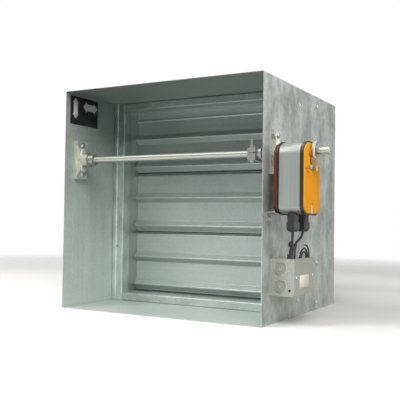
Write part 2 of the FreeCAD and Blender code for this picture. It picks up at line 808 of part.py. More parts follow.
# Spring strips between the jambs and the blade ends, bowed towards the blades
def jamb_seals():
    half, flat, skin = S["jamb_seal_half"], S["jamb_seal_flat"], S["jamb_seal_wall"]
    slant = skin * ((half - flat).value / S["jamb_seal_bow"].value)
    for side, sign, way in SIDES:
        crest = (WEB_X - S["jamb_seal_bow"]) * sign
        inner = (WEB_X - S["jamb_seal_bow"] + skin) * sign
        foot = WEB_X * sign
        strip = padded("jamb_strip_%s" % side, "XY", SILL_TOP, HEAD_BOTTOM, [
            (foot, AXIS_Y - half),
            (crest, AXIS_Y - flat),
            (crest, AXIS_Y + flat),
            (foot, AXIS_Y + half),
            (foot, AXIS_Y + half - slant),
            (inner, AXIS_Y + flat),
            (inner, AXIS_Y - flat),
            (foot, AXIS_Y - half + slant),
        ])
        holes = [rod("strip_hole", ((WEB_X - S["jamb_seal_bow"] - skin) * sign, AXIS_Y, z), way,
                     S["axle_radius"] + S["jamb_seal_hole_gap"], skin * 3) for z in AXES_Z]
        node("jamb_seal_%s" % side, cut_from("jamb_strip_cut_%s" % side, strip, holes))


# Stops: an angle with a rolled hem before the top blade, and an angle behind the bottom blade
def stops():
    wall, hem, foot = S["stop_wall"], S["hem_radius"], S["stop_foot"]
    low = HEAD_BOTTOM - S["head_stop_drop"]
    roll_y = FACE_Y - S["head_stop_gap"] - hem
    angle = padded("head_angle", "YZ", -BLADE_END, BLADE_END, [
        (roll_y - wall / 2, low + hem),
        (roll_y + wall / 2, low + hem),
        (roll_y + wall / 2, HEAD_BOTTOM),
        (roll_y - foot, HEAD_BOTTOM),
        (roll_y - foot, HEAD_BOTTOM - wall),
        (roll_y - wall / 2, HEAD_BOTTOM - wall),
    ])
    roll = rod("head_roll", (-BLADE_END, roll_y, low + hem), "+X", hem, BLADE_END * 2)
    node("head_stop", joined("head_stop_join", [angle, roll]))
    front = FACE_Y + S["blade_wall"] + S["edge_seal_back"] + S["sill_stop_gap"]
    high = SILL_TOP + S["sill_stop_rise"]
    node("sill_stop", padded("sill_angle", "YZ", -BLADE_END, BLADE_END, [
        (front, SILL_TOP),
        (front + foot, SILL_TOP),
        (front + foot, SILL_TOP + wall),
        (front + wall, SILL_TOP + wall),
        (front + wall, high),
        (front, high),
    ]))


# Cranks on the right axles with their riveted pins, the tie bar and the drive link
def linkage():
    for name, z in zip(BLADE_NAMES, AXES_Z):
        tie = (AXIS_Y + TIE_Y, z + TIE_Z)
        arms = [crank_arm("tie_arm_%s" % name, (AXIS_Y, z), tie)]
        pins = [crank_pin("tie_pin_%s" % name, tie, TIE_OUT)]
        if name == BLADE_NAMES[-1]:
            drive = (AXIS_Y + DRIVE_Y, z + DRIVE_Z)
            arms.append(crank_arm("drive_arm", (AXIS_Y, z), drive))
            pins.append(crank_pin("drive_pin", drive, LINK_OUT))
        hub = rod("crank_hub_%s" % name, (CRANK_X, AXIS_Y, z), "+X",
                  S["axle_radius"] + S["crank_hub_wall"], S["crank_plate"])
        bore = rod("crank_bore", (CRANK_X - 1, AXIS_Y, z), "+X", S["axle_radius"], S["crank_plate"] + 2)
        solid = joined("crank_solid_%s" % name, arms + pins + [hub])
        node("blade_crank_%s" % name, cut_from("crank_cut_%s" % name, solid, [bore]))
    eye = S["pin_radius"] + S["pivot_gap"]
    ends = [(AXIS_Y + TIE_Y, z + TIE_Z) for z in AXES_Z]
    node("tie_bar", padded("tie_bar_flat", "YZ", TIE_X, TIE_OUT, bar(ends[0], ends[-1], S["link_half"]),
                           [(y, z, eye) for y, z in ends]))
    near = (SHAFT_Y + DRIVE_Y, SHAFT_Z + DRIVE_Z)
    far = (AXIS_Y + DRIVE_Y, AXES_Z[-1] + DRIVE_Z)
    node("drive_link", padded("drive_link_flat", "YZ", LINK_X, LINK_OUT, bar(near, far, S["link_half"]),
                              [(near[0], near[1], eye), (far[0], far[1], eye)]))


def crank_arm(name, centre, end):
    return padded(name, "YZ", CRANK_X, CRANK_OUT, bar(centre, end, S["arm_half"]))


def crank_pin(name, centre, reach):
    """A pin from the crank through the bar that it carries, with a thin head past it"""
    length = reach - CRANK_X + S["pin_end_play"]
    rim = S["pin_radius"] + S["pin_rim"]
    return turned(name, (CRANK_X, centre[0], centre[1]), "+X", [
        (ZERO, ZERO),
        (length + S["pin_head"], ZERO),
        (length + S["pin_head"], rim),
        (length, rim),
        (length, S["pin_radius"]),
        (ZERO, S["pin_radius"]),
    ])


# Jackshaft with a marking groove behind its free end
def jackshaft():
    length, radius = SHAFT_RIGHT - SHAFT_LEFT, S["shaft_radius"]
    tip = length - S["axle_end_chamfer"] - S["tip_length"]
    outline = shaft_outline(radius, length)
    outline[-1:-1] = [
        (tip, radius),
        (tip, radius - S["tip_groove_depth"]),
        (tip - S["tip_groove"], radius - S["tip_groove_depth"]),
        (tip - S["tip_groove"], radius),
    ]
    node("jackshaft", turned("shaft", (SHAFT_LEFT, SHAFT_Y, SHAFT_Z), "+X", outline))


# Split crank that is clamped on the jackshaft
def drive_crank():
    hub_out = WEB_X - S["blade_end_gap"]
    hub_in = hub_out - S["hub_width"]
    bolt_x = hub_in + S["hub_width"] / 2
    bolt_y = SHAFT_Y - S["shaft_radius"] - S["clamp_bolt_radius"] - S["clamp_bolt_wall"]
    front, back = SHAFT_Y - S["hub_front"], SHAFT_Y + S["hub_back"]
    low, high = SHAFT_Z - S["hub_below"], SHAFT_Z + S["hub_above"]
    hub = block("hub_block", (hub_in, front, low), (hub_out, back, high))
    boss = rod("hub_boss", (hub_out, SHAFT_Y, SHAFT_Z), "+X", S["shaft_radius"] + S["hub_boss_wall"],
               CRANK_OUT - hub_out)
    pin = (SHAFT_Y + DRIVE_Y, SHAFT_Z + DRIVE_Z)
    solid = joined("drive_crank_join", [hub, boss, crank_arm("crank_arm", (SHAFT_Y, SHAFT_Z), pin),
                                        crank_pin("crank_pin", pin, LINK_OUT)])
    split = S["hub_split"] / 2
    cuts = [
        rod("shaft_bore", (hub_in - 1, SHAFT_Y, SHAFT_Z), "+X", S["shaft_radius"], CRANK_OUT - hub_in + 2),
        block("clamp_split", (hub_in - 1, front - 1, SHAFT_Z - split),
              (hub_out, SHAFT_Y - S["shaft_radius"] / 2, SHAFT_Z + split)),
        rod("clamp_bore", (bolt_x, bolt_y, low - 1), "+Z", S["clamp_bolt_radius"], high - low + 2),
    ]
    node("drive_crank", cut_from("drive_crank_cut", solid, cuts))
    head = S["clamp_bolt_head"]
    length = head + (high - low) + (S["clamp_bolt_rise"] - S["hub_above"])
    bolt = turned("clamp_bolt", (bolt_x, bolt_y, low - head), "+Z", [
        (ZERO, ZERO),
        (length, ZERO),
        (length, S["clamp_bolt_radius"]),
        (head, S["clamp_bolt_radius"]),
        (head, S["nut_half"]),
        (ZERO, S["nut_half"]),
    ])
    nut = hex_nut("clamp_nut", (bolt_x, bolt_y), high, S["nut_height"], S["nut_half"],
                  S["clamp_bolt_radius"])
    group("crank_clamp_bolt", [bolt, nut])


def hexagon(centre, half):
    """Corners of a hexagon with the given half width across its flats"""
    corners = []
    for i in range(6):
        angle = math.radians(60 * i)
        reach = size(half) * (2 / math.sqrt(3))
        corners.append((centre[0] + reach * math.cos(angle), centre[1] + reach * math.sin(angle)))
    return corners


def hex_nut(name, centre, low, height, half, bore):
    """A hexagon nut on an upright bolt"""
    return padded(name, "XY", low, low + height, hexagon(centre, half), [(centre[0], centre[1], bore)])


def collars():
    washer_x = COLLAR_X - S["washer_plate"]
    node("thrust_washer", turned("washer", (washer_x, SHAFT_Y, SHAFT_Z), "+X", ring_outline(
        ZERO, S["washer_plate"], S["shaft_radius"], S["washer_radius"])))
    ring = turned("collar", (COLLAR_X, SHAFT_Y, SHAFT_Z), "+X",
                  ring_outline(ZERO, S["collar_width"], S["shaft_radius"], S["collar_radius"]))
    middle = COLLAR_X + S["collar_width"] / 2
    hole = rod("collar_hole", (middle, SHAFT_Y - S["collar_radius"] + S["collar_screw_depth"], SHAFT_Z),
               "-Y", S["collar_screw_radius"], S["collar_radius"])
    node("shaft_collar", cut_from("collar_cut", ring, [hole]))


# Two-bolt flange bearings of the jackshaft, inside the left wall and outside the right one
def bearings():
    for side, face, reach in (("left", -INNER_X, S["bearing_left_reach"]),
                              ("right", HALF_WIDTH, S["bearing_right_reach"])):
        plate, rib = S["bearing_plate"], S["bearing_rib"]
        half, rise = S["bearing_half_width"], S["bearing_half_height"]
        neck, neck_rise, ear = S["bearing_neck_half"], S["bearing_neck_rise"], S["bearing_ear"]
        base = padded("bearing_base_%s" % side, "YZ", face, face + plate, rounded(
            SHAFT_Y - half, SHAFT_Y + half, SHAFT_Z - rise, SHAFT_Z + rise, plate))
        upper = [
            (SHAFT_Y + neck, SHAFT_Z + neck_rise),
            (SHAFT_Y + half, SHAFT_Z + rise - ear),
            (SHAFT_Y + half, SHAFT_Z + rise),
            (SHAFT_Y - half, SHAFT_Z + rise),
            (SHAFT_Y - half, SHAFT_Z + rise - ear),
            (SHAFT_Y - neck, SHAFT_Z + neck_rise),
        ]
        lower = [(y, SHAFT_Z * 2 - z) for y, z in reversed(upper)]
        waist = padded("bearing_rib_%s" % side, "YZ", face, face + plate + rib, upper + lower)
        outer = S["shaft_radius"] + S["bearing_hub_wall"]
        hub = turned("bearing_hub_%s" % side, (face, SHAFT_Y, SHAFT_Z), "+X", [
            (ZERO, ZERO),
            (reach, ZERO),
            (reach, outer - S["axle_end_chamfer"]),
            (reach - S["axle_end_chamfer"], outer),
            (ZERO, outer),
        ])
        cuts = [rod("bearing_bore", (face - 1, SHAFT_Y, SHAFT_Z), "+X",
                    S["shaft_radius"] + S["running_gap"], reach + 2)]
        for z in bearing_bolt_heights():
            cuts.append(rod("bearing_bolt_hole", (face - 1, SHAFT_Y, z), "+X",
                            S["bolt_radius"] + S["bolt_hole_gap"], plate + rib + 2))
        solid = joined("bearing_join_%s" % side, [base, waist, hub])
        node("shaft_bearing_%s" % side, cut_from("bearing_cut_%s" % side, solid, cuts))
        bearing_bolts(side, face + plate + rib)


def bearing_bolts(side, seat):
    """Round-headed bolts through the bearing's ears, with nuts on the other face of the wall"""
    wall_face = INNER_X if side == "right" else -HALF_WIDTH
    pieces = []
    ball = (S["dome_radius"] * S["dome_radius"] + S["dome_height"] * S["dome_height"]) / (
        S["dome_height"] * 2)
    length = seat - wall_face + S["nut_height"] + S["bolt_tail"]
    for z in bearing_bolt_heights():
        pieces.append(turned("bearing_bolt", (seat, SHAFT_Y, z), "+X", [
            (-length, ZERO),
            (S["dome_height"], ZERO, ball),
            (ZERO, S["dome_radius"]),
            (ZERO, S["bolt_radius"]),
            (-length, S["bolt_radius"]),
        ]))
        corners = hexagon((SHAFT_Y, z), S["nut_half"])
        pieces.append(padded("bearing_nut", "YZ", wall_face - S["nut_height"], wall_face, corners,
                             [(SHAFT_Y, z, S["bolt_radius"])]))
    group("bearing_bolts_%s" % side, pieces)


# Actuator on the end of the jackshaft: a body with round corners between two bezels and two covers
def actuator_outline(inset):
    half = S["actuator_half"] - inset
    return rounded(SHAFT_Y - half, SHAFT_Y + half, ACT_LOW + inset, ACT_TOP - inset,
                   S["actuator_corner"] - inset)


def actuator():
    half = S["actuator_half"]
    bore = HUB_RADIUS + S["hub_sleeve_gap"]
    pass_hole = [(SHAFT_Y, SHAFT_Z, bore)]
    outline = actuator_outline(ZERO)
    body_outline = actuator_outline(S["body_inset"])
    cover_outline = actuator_outline(S["cover_inset"])
    bezel_x = ACT_BACK + S["back_cover"]
    back = padded("back_plate", "YZ", ACT_BACK, bezel_x, cover_outline, pass_hole)
    node("actuator_back_cover", round_rims(back, [ACT_BACK.value], S["body_round"]))
    node("actuator_back_bezel", padded("back_bezel", "YZ", bezel_x, ACT_BODY, outline, pass_hole))
    housing = padded("housing", "YZ", ACT_BODY, ACT_BODY_OUT, body_outline, pass_hole)
    round_rims(housing, [ACT_BODY.value, ACT_BODY_OUT.value], S["body_round"])
    sockets = [rod("gland_socket", (GLAND_X, y, ACT_LOW), "+Z", S["gland_stub_radius"],
                   S["gland_stub_top"]) for y in GLAND_Y]
    node("actuator_body", cut_from("housing_cut", housing, sockets))
    node("actuator_front_bezel", padded("front_bezel", "YZ", ACT_BODY_OUT, ACT_COVER, outline, pass_hole))
    cover = padded("cover_plate", "YZ", ACT_COVER, ACT_FACE, cover_outline, pass_hole)
    round_rims(cover, [ACT_FACE.value], S["cover_round"])
    notch = S["notch_width"] / 2
    slot_top = (-S["lever_slot_reach"], S["lever_slot_half"])
    slot_low = (-S["lever_slot_reach"], S["lever_slot_half"] - S["lever_slot_length"])
    lever = padded("lever_slot", "YZ", ACT_COVER - 1, ACT_FACE + 1,
                   bar(slot_low, slot_top, S["lever_slot_half"]))
    place(lever, (ZERO, SHAFT_Y, SHAFT_Z), tilted())
    cuts = [
        block("cover_notch", (ACT_COVER - 1, SHAFT_Y - notch, ACT_LOW - 1),
              (ACT_FACE + 1, SHAFT_Y + notch, ACT_LOW + S["notch_height"])),
        rod("cover_hole", (ACT_COVER - 1, SHAFT_Y - half + S["peg_hole_side"],
                           SHAFT_Z - S["peg_hole_below"]), "+X", S["peg_hole_radius"],
            S["front_cover"] + 2),
        lever,
    ]
    node("actuator_front_cover", cut_from("cover_cut", cover, cuts))


def tilted():
    """The clamp's turn about the jackshaft, with its nuts down and towards the back"""
    return FreeCAD.Rotation(FreeCAD.Vector(1, 0, 0), S["clamp_tilt"].value)


# Clamp: the actuator's hub sleeve, two jaws, a bent bolt round the shaft and two nuts
def shaft_clamp():
    node("clamp_hub", turned("hub_sleeve", (ACT_BACK, SHAFT_Y, SHAFT_Z), "+X",
                             ring_outline(ZERO, HUB_FACE - ACT_BACK, S["shaft_radius"], HUB_RADIUS)))
    bend, wire, grip = S["u_bolt_bend"], S["u_bolt_wire"], S["shaft_radius"]
    depth = wire * 2 + S["jaw_skin"]
    wire_x = HUB_FACE + S["jaw_skin"] + wire
    jaw_out = HUB_FACE + S["jaw_depth"]
    jaw_top = S["jaw_bite"] - grip
    jaw_low = jaw_top - S["jaw_height"]
    half = S["jaw_half"]
    jaw = block("jaw", (HUB_FACE, -half, jaw_low), (jaw_out, half, jaw_top))
    cuts = [rod("jaw_seat", (HUB_FACE - 1, ZERO, ZERO), "+X", grip, S["jaw_depth"] + 2)]
    for sign in (-1.0, 1.0):
        cuts.append(rod("jaw_hole", (wire_x, bend * sign, jaw_low - 1), "+Z", wire, S["jaw_height"] + 2))
    lower_jaw = cut_from("jaw_cut", jaw, cuts)
    cap_half = S["jaw_cap_half"]
    cap = block("jaw_cap", (HUB_FACE, -cap_half, grip / 2), (HUB_FACE + depth, cap_half, bend))
    inside = rod("jaw_cap_round", (HUB_FACE, ZERO, ZERO), "+X", bend - wire, depth)
    cap_seat = rod("jaw_cap_seat", (HUB_FACE - 1, ZERO, ZERO), "+X", grip, depth + 2)
    upper_jaw = cut_from("jaw_cap_cut", shared("jaw_cap_fit", cap, inside), [cap_seat])
    tilt_node("clamp_jaws", [lower_jaw, upper_jaw])
    bow = doc.addObject("Part::Torus", "bow")
    bind(bow, "Radius1", bend)
    bind(bow, "Radius2", wire)
    place(bow, (wire_x, ZERO, ZERO), FreeCAD.Rotation(FreeCAD.Vector(0, 1, 0), 90))
    reach = bend + wire + 1
    keep = block("bow_half", (HUB_FACE - 1, -reach, ZERO), (wire_x + wire + 1, reach, reach))
    legs = [rod("bow_leg", (wire_x, bend * sign, ZERO), "-Z", wire, S["u_bolt_leg"])
            for sign in (-1.0, 1.0)]
    tilt_node("clamp_u_bolt", [joined("u_bolt_join", [shared("bow_upper", bow, keep)] + legs)])
    nuts = [hex_nut("u_bolt_nut", (wire_x, bend * sign), jaw_low - S["nut_height"], S["nut_height"],
                    S["nut_half"], wire) for sign in (-1.0, 1.0)]
    tilt_node("clamp_nuts", nuts)


def tilt_node(name, pieces):
    """Pieces modelled about the jackshaft's axis, set on it at the clamp's tilt"""
    made = group(name, pieces)
    place(made, (ZERO, SHAFT_Y, SHAFT_Z), tilted())
    bind(made, ".Placement.Rotation.Angle", S["clamp_tilt"])


# Strap from the wall to the actuator's back, which keeps it from turning
def anti_turn_strap():
    wall = S["strap_wall"]
    near, far = SHAFT_Y - S["strap_ahead"], SHAFT_Y - S["strap_ahead"] + S["strap_width"]
    high = ACT_LOW + S["strap_rise"]
    low = high - S["strap_foot"]
    section = bent_sheet([
        (HALF_WIDTH, low),
        (HALF_WIDTH, high),
        (ACT_BACK - wall, high),
        (ACT_BACK - wall, high + S["strap_tab"]),
    ], wall, S["sheet_bend"])
    strap = padded("strap", "XZ", -far, -near, section)
    node("anti_turn_strap", strap)


# Cable glands under the actuator
GLAND_X = derived("gland_x", ACT_BODY + S["actuator_body_depth"] / 2 + S["gland_offset"])
GLAND_Y = [derived("gland_front_y", SHAFT_Y - S["gland_spread"]),
           derived("gland_back_y", SHAFT_Y + S["gland_spread"])]
GLAND_COLLAR = derived("gland_collar", ACT_LOW + S["gland_collar_drop"])
GLAND_NUT = derived("gland_nut_top", GLAND_COLLAR - S["gland_body"])
GLAND_END = derived("gland_end", GLAND_NUT - S["gland_nut"])


def glands():
    bodies = []
    nuts = []
    bore = S["lead_radius"] + S["lead_fit"]
    top = S["gland_stub_top"] - S["gland_collar_drop"]
    for y in GLAND_Y:
        bodies.append(turned("gland_body", (GLAND_X, y, GLAND_COLLAR + top), "-Z", [
            (ZERO, bore),
            (top + S["gland_body"], bore),
            (top + S["gland_body"], S["gland_radius"]),
            (top, S["gland_radius"]),
            (top, S["gland_stub_radius"]),
            (ZERO, S["gland_stub_radius"]),
        ]))
        blank = hex_nut("gland_hexagon", (GLAND_X, y), GLAND_END, S["gland_nut"], S["gland_nut_half"], bore)
        corner = S["gland_nut_half"] * (2 / math.sqrt(3))
        round_off = turned("gland_nut_round", (GLAND_X, y, GLAND_NUT), "-Z", [
            (ZERO, ZERO),
            (S["gland_nut"], ZERO),
            (S["gland_nut"], S["gland_nose_radius"]),
            (S["gland_nut"] - S["gland_nut_taper"], corner),
            (ZERO, corner),
        ])
        nuts.append(shared("gland_nut", blank, round_off))
    group("gland_bodies", bodies)
    group("gland_nuts", nuts)


# Junction box on the right wall, open to the right under a flat cover
ENTRY = (BOX_OUT - S["box_wall"] - S["lead_bushing_radius"] - S["entry_inset"],
         SHAFT_Y + S["entry_back"])
WIRE_X = derived("wire_x", BOX_OUT - S["box_wall"] - S["wire_radius"] - S["entry_inset"])
WIRE_Y = {
    "outer_start": BOX_BACK - S["outer_wire_front"],
    "outer_end": BOX_BACK - S["outer_wire_back"],
    "middle_start": BOX_BACK - S["middle_wire_front"],
    "middle_end": BOX_BACK - S["middle_wire_back"],
    "inner_start": BOX_BACK - S["inner_wire_front"],
    "inner_end": BOX_BACK - S["inner_wire_back"],
}


def junction_box():
    wall = S["box_wall"]
    shell = block("box_shell", (HALF_WIDTH, BOX_FRONT, BOX_LOW), (BOX_OUT, BOX_BACK, BOX_TOP))
    inside = block("box_inside", (HALF_WIDTH + wall, BOX_FRONT + wall, BOX_LOW + wall),
                   (BOX_OUT + 1, BOX_BACK - wall, BOX_TOP - wall))
    cuts = [inside]
    knock_x = HALF_WIDTH + S["knockout_out"]
    heights = [BOX_MID - S["knockout_rise"], BOX_MID + S["knockout_rise"]]
    for z in heights:
        cuts.append(rod("knockout_hole", (knock_x, BOX_FRONT + wall + 1, z), "-Y", S["knockout_radius"],
                        wall + 2))
    cuts.append(rod("bushing_hole", (ENTRY[0], ENTRY[1], BOX_TOP - wall - 1), "+Z",
                    S["lead_bushing_radius"] + S["lead_fit"], wall + 2))
    for y in WIRE_Y.values():
        cuts.append(rod("wire_hole", (WIRE_X, y, BOX_TOP - wall - 1), "+Z",
                        S["wire_radius"] + S["lead_fit"], wall + 2))
    node("junction_box", cut_from("box_cut", shell, cuts))
    discs = [rod("knockout", (knock_x, BOX_FRONT + wall, z), "-Y", S["knockout_radius"] - S["knockout_gap"],
                 wall - S["knockout_inset"]) for z in heights]
    group("knockout_discs", discs)
    node("box_cover", padded("cover_flat", "YZ", BOX_OUT, BOX_OUT + S["box_cover"], rounded(
        BOX_FRONT, BOX_BACK, BOX_LOW, BOX_TOP, S["box_cover_round"])))


# Leads and wires: each a tube of straight runs joined by tangent arcs
def lead_tube(name, points, radius):
    spots = [FreeCAD.Vector(*[size(c).value for c in p]) for p in points]
    edges = []
    here_now = spots[0]
    radii = []
    for before, here, after in zip(spots, spots[1:], spots[2:]):
        back = (before - here).normalize()
        ahead = (after - here).normalize()
        turn = math.pi - back.getAngle(ahead)
        cut = 0.45 * min((before - here).Length, (after - here).Length)
        bend = cut / math.tan(turn / 2)
        radii.append(bend)
        inward = (back + ahead).normalize()
        middle = here + inward * (bend / math.cos(turn / 2) - bend)
        edges.append(Part.LineSegment(here_now, here + back * cut).toShape())
        edges.append(Part.Arc(here + back * cut, middle, here + ahead * cut).toShape())
        here_now = here + ahead * cut
    edges.append(Part.LineSegment(here_now, spots[-1]).toShape())
    path = Part.Wire(edges)
    ring = Part.Wire([Part.makeCircle(radius.value, spots[0], (spots[1] - spots[0]).normalize())])
    tube = path.makePipeShell([ring], True, False)
    thing = doc.addObject("Part::Feature", name)
    thing.Shape = tube
    share = tube.Volume / (math.pi * radius.value ** 2 * path.Length)
    print("%s: length %.1f mm, radii %s mm, volume %.4f of section times length"
          % (name, path.Length, " ".join("%.0f" % r for r in radii), share))
    return node(name, thing)


def leads():
    entry_x, entry_y = ENTRY
    inside = BOX_TOP - S["wire_inside"]
    radius = S["lead_radius"]
    gap = radius + S["lead_fit"]
    start = GLAND_END + S["gland_nut"] * 0.7
    lead_tube("actuator_lead_front", [
        (GLAND_X, GLAND_Y[0], start),
        (GLAND_X, GLAND_Y[0], GLAND_END - 9),
        (GLAND_X - 5.5, GLAND_Y[0] + 10.5, BOX_TOP + 28),
        (entry_x + 2, entry_y - gap - 3.5, BOX_TOP + 15),
        (entry_x, entry_y - gap, BOX_TOP + 3),
    ], radius)
    lead_tube("actuator_lead_back", [
        (GLAND_X, GLAND_Y[1], start),
        (GLAND_X, GLAND_Y[1], GLAND_END - 8),
        (GLAND_X - 7, GLAND_Y[1] - 14, BOX_TOP + 31),
        (entry_x + 2, entry_y + gap + 2.5, BOX_TOP + 19),
        (entry_x, entry_y + gap, BOX_TOP + 3),
    ], radius)
    node("lead_bushing", rod("bushing", (entry_x, entry_y, inside), "+Z", S["lead_bushing_radius"],
                             S["wire_inside"] + S["lead_bushing_height"]))
    wire = S["wire_radius"]
    lead_tube("wire_loop_outer", [
        (WIRE_X, WIRE_Y["outer_start"], inside),
        (WIRE_X, WIRE_Y["outer_start"], BOX_TOP + 19),
        (WIRE_X - 0.5, WIRE_Y["outer_start"] + 12, BOX_TOP + 28),
        (WIRE_X, WIRE_Y["outer_end"] - 33, BOX_TOP + 27),
        (WIRE_X, WIRE_Y["outer_end"] - 8, BOX_TOP + 22),
        (WIRE_X, WIRE_Y["outer_end"], BOX_TOP + 9),
        (WIRE_X, WIRE_Y["outer_end"], inside),
    ], wire)
    lead_tube("wire_loop_middle", [
        (WIRE_X, WIRE_Y["middle_start"], inside),
        (WIRE_X, WIRE_Y["middle_start"], BOX_TOP + 8),
        (WIRE_X, WIRE_Y["middle_end"] - 17, BOX_TOP + 21),
        (WIRE_X, WIRE_Y["middle_end"], BOX_TOP + 9),
        (WIRE_X, WIRE_Y["middle_end"], inside),
    ], wire)
    lead_tube("wire_loop_inner", [
        (WIRE_X, WIRE_Y["inner_start"], inside),
        (WIRE_X, WIRE_Y["inner_start"], BOX_TOP + 5),
        (WIRE_X, WIRE_Y["inner_end"] - 11, BOX_TOP + 14),
        (WIRE_X, WIRE_Y["inner_end"], BOX_TOP + 5),
        (WIRE_X, WIRE_Y["inner_end"], inside),
    ], wire)


sleeve()
frame()
blades()
bushes()
jamb_seals()
stops()
linkage()
jackshaft()
drive_crank()
collars()
bearings()
actuator()
shaft_clamp()
anti_turn_strap()
glands()
junction_box()
leads()
doc.recompute()

faults = []
for thing in doc.Objects:
    if "Invalid" in thing.State or "Error" in thing.State:
        faults.append("%s: %s" % (thing.Label, thing.State))
for name, thing in NODES.items():
    if thing.Shape.isNull() or not thing.Shape.isValid() or not thing.Shape.Solids:
        faults.append("%s: shape not valid" % name)
if faults:
    raise RuntimeError("; ".join(faults))

os.makedirs("parts", exist_ok=True)
for name, thing in NODES.items():
    thing.Shape.exportStep("parts/%s.step" % name)
print("%d nodes written" % len(NODES))
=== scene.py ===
import math
import bmesh
import bpy
from mathutils import Matrix, Vector, noise


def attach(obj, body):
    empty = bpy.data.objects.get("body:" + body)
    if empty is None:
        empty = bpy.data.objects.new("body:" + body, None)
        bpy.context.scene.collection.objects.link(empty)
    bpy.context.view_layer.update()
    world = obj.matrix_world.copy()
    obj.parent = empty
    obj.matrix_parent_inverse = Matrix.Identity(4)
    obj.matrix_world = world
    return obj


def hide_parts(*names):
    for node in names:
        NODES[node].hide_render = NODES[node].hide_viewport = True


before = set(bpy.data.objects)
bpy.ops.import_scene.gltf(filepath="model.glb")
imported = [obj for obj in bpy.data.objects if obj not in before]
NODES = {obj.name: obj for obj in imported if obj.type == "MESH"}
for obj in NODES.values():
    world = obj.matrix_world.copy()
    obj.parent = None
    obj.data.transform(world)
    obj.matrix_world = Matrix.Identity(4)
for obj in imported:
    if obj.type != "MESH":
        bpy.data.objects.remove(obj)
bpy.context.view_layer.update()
FRAME_BODY = "damper_frame"
SHAFT_BODY = "jackshaft_set"
scene = bpy.context.scene

# Places on the solids that the dressing goes by, in millimetres
HALF_WIDTH = 228.6
ROOF = 457.2
SHEET = 1.0
WALL_INSIDE = HALF_WIDTH - SHEET
WALL_MIDDLE = HALF_WIDTH - SHEET / 2
ROOF_MIDDLE = ROOF - SHEET / 2
ABOVE_FLOOR = 2.3
JAMB_FRONT = -32.0
BLADES = {"bottom": 101.0, "middle": 238.5, "top": 376.0}
SHAFT = (-157.0, 314.0)
BEARING_BOLT_RISE = 31.75
DRIVE_HALF = 42.5
DRIVE_BOTTOM = 199.5
DRIVE_TOP = 330.5
DRIVE_CORNER = 16.0
GLAND_X = 278.15
GLANDS_Y = (-182.5, -131.5)
BOX_FRONT = -169.0
BOX_FACE = 276.2
KNOCKOUT_X = 249.5
KNOCKOUTS_Z = (71.2, 102.5)
WIRE_X = 268.5
WIRE_END = 115.2
LEAD_X = 264.0
LEAD_END = 123.2


def mm(*values):
    """A point or a way, given in millimetres"""
    return Vector(values) * 0.001


# Camera at the photograph's viewing angle
def set_camera():
    azimuth, elevation, roll = (math.radians(a) for a in (29.441, -1.694, 0.804))
    back = Vector((math.sin(azimuth) * math.cos(elevation),
                   -math.cos(azimuth) * math.cos(elevation), math.sin(elevation)))
    right = Vector((math.cos(azimuth), math.sin(azimuth), 0))
    up = back.cross(right)
    across = right * math.cos(roll) + up * math.sin(roll)
    upward = up * math.cos(roll) - right * math.sin(roll)
    data = bpy.data.cameras.new("camera")
    data.lens = 59.397
    data.sensor_width = 36
    camera = bpy.data.objects.new("camera", data)
    scene.collection.objects.link(camera)
    place = Matrix((across, upward, back)).transposed().to_4x4()
    place.translation = mm(707.0, -1276.5, 189.3)
    camera.matrix_world = place
    scene.camera = camera


set_camera()


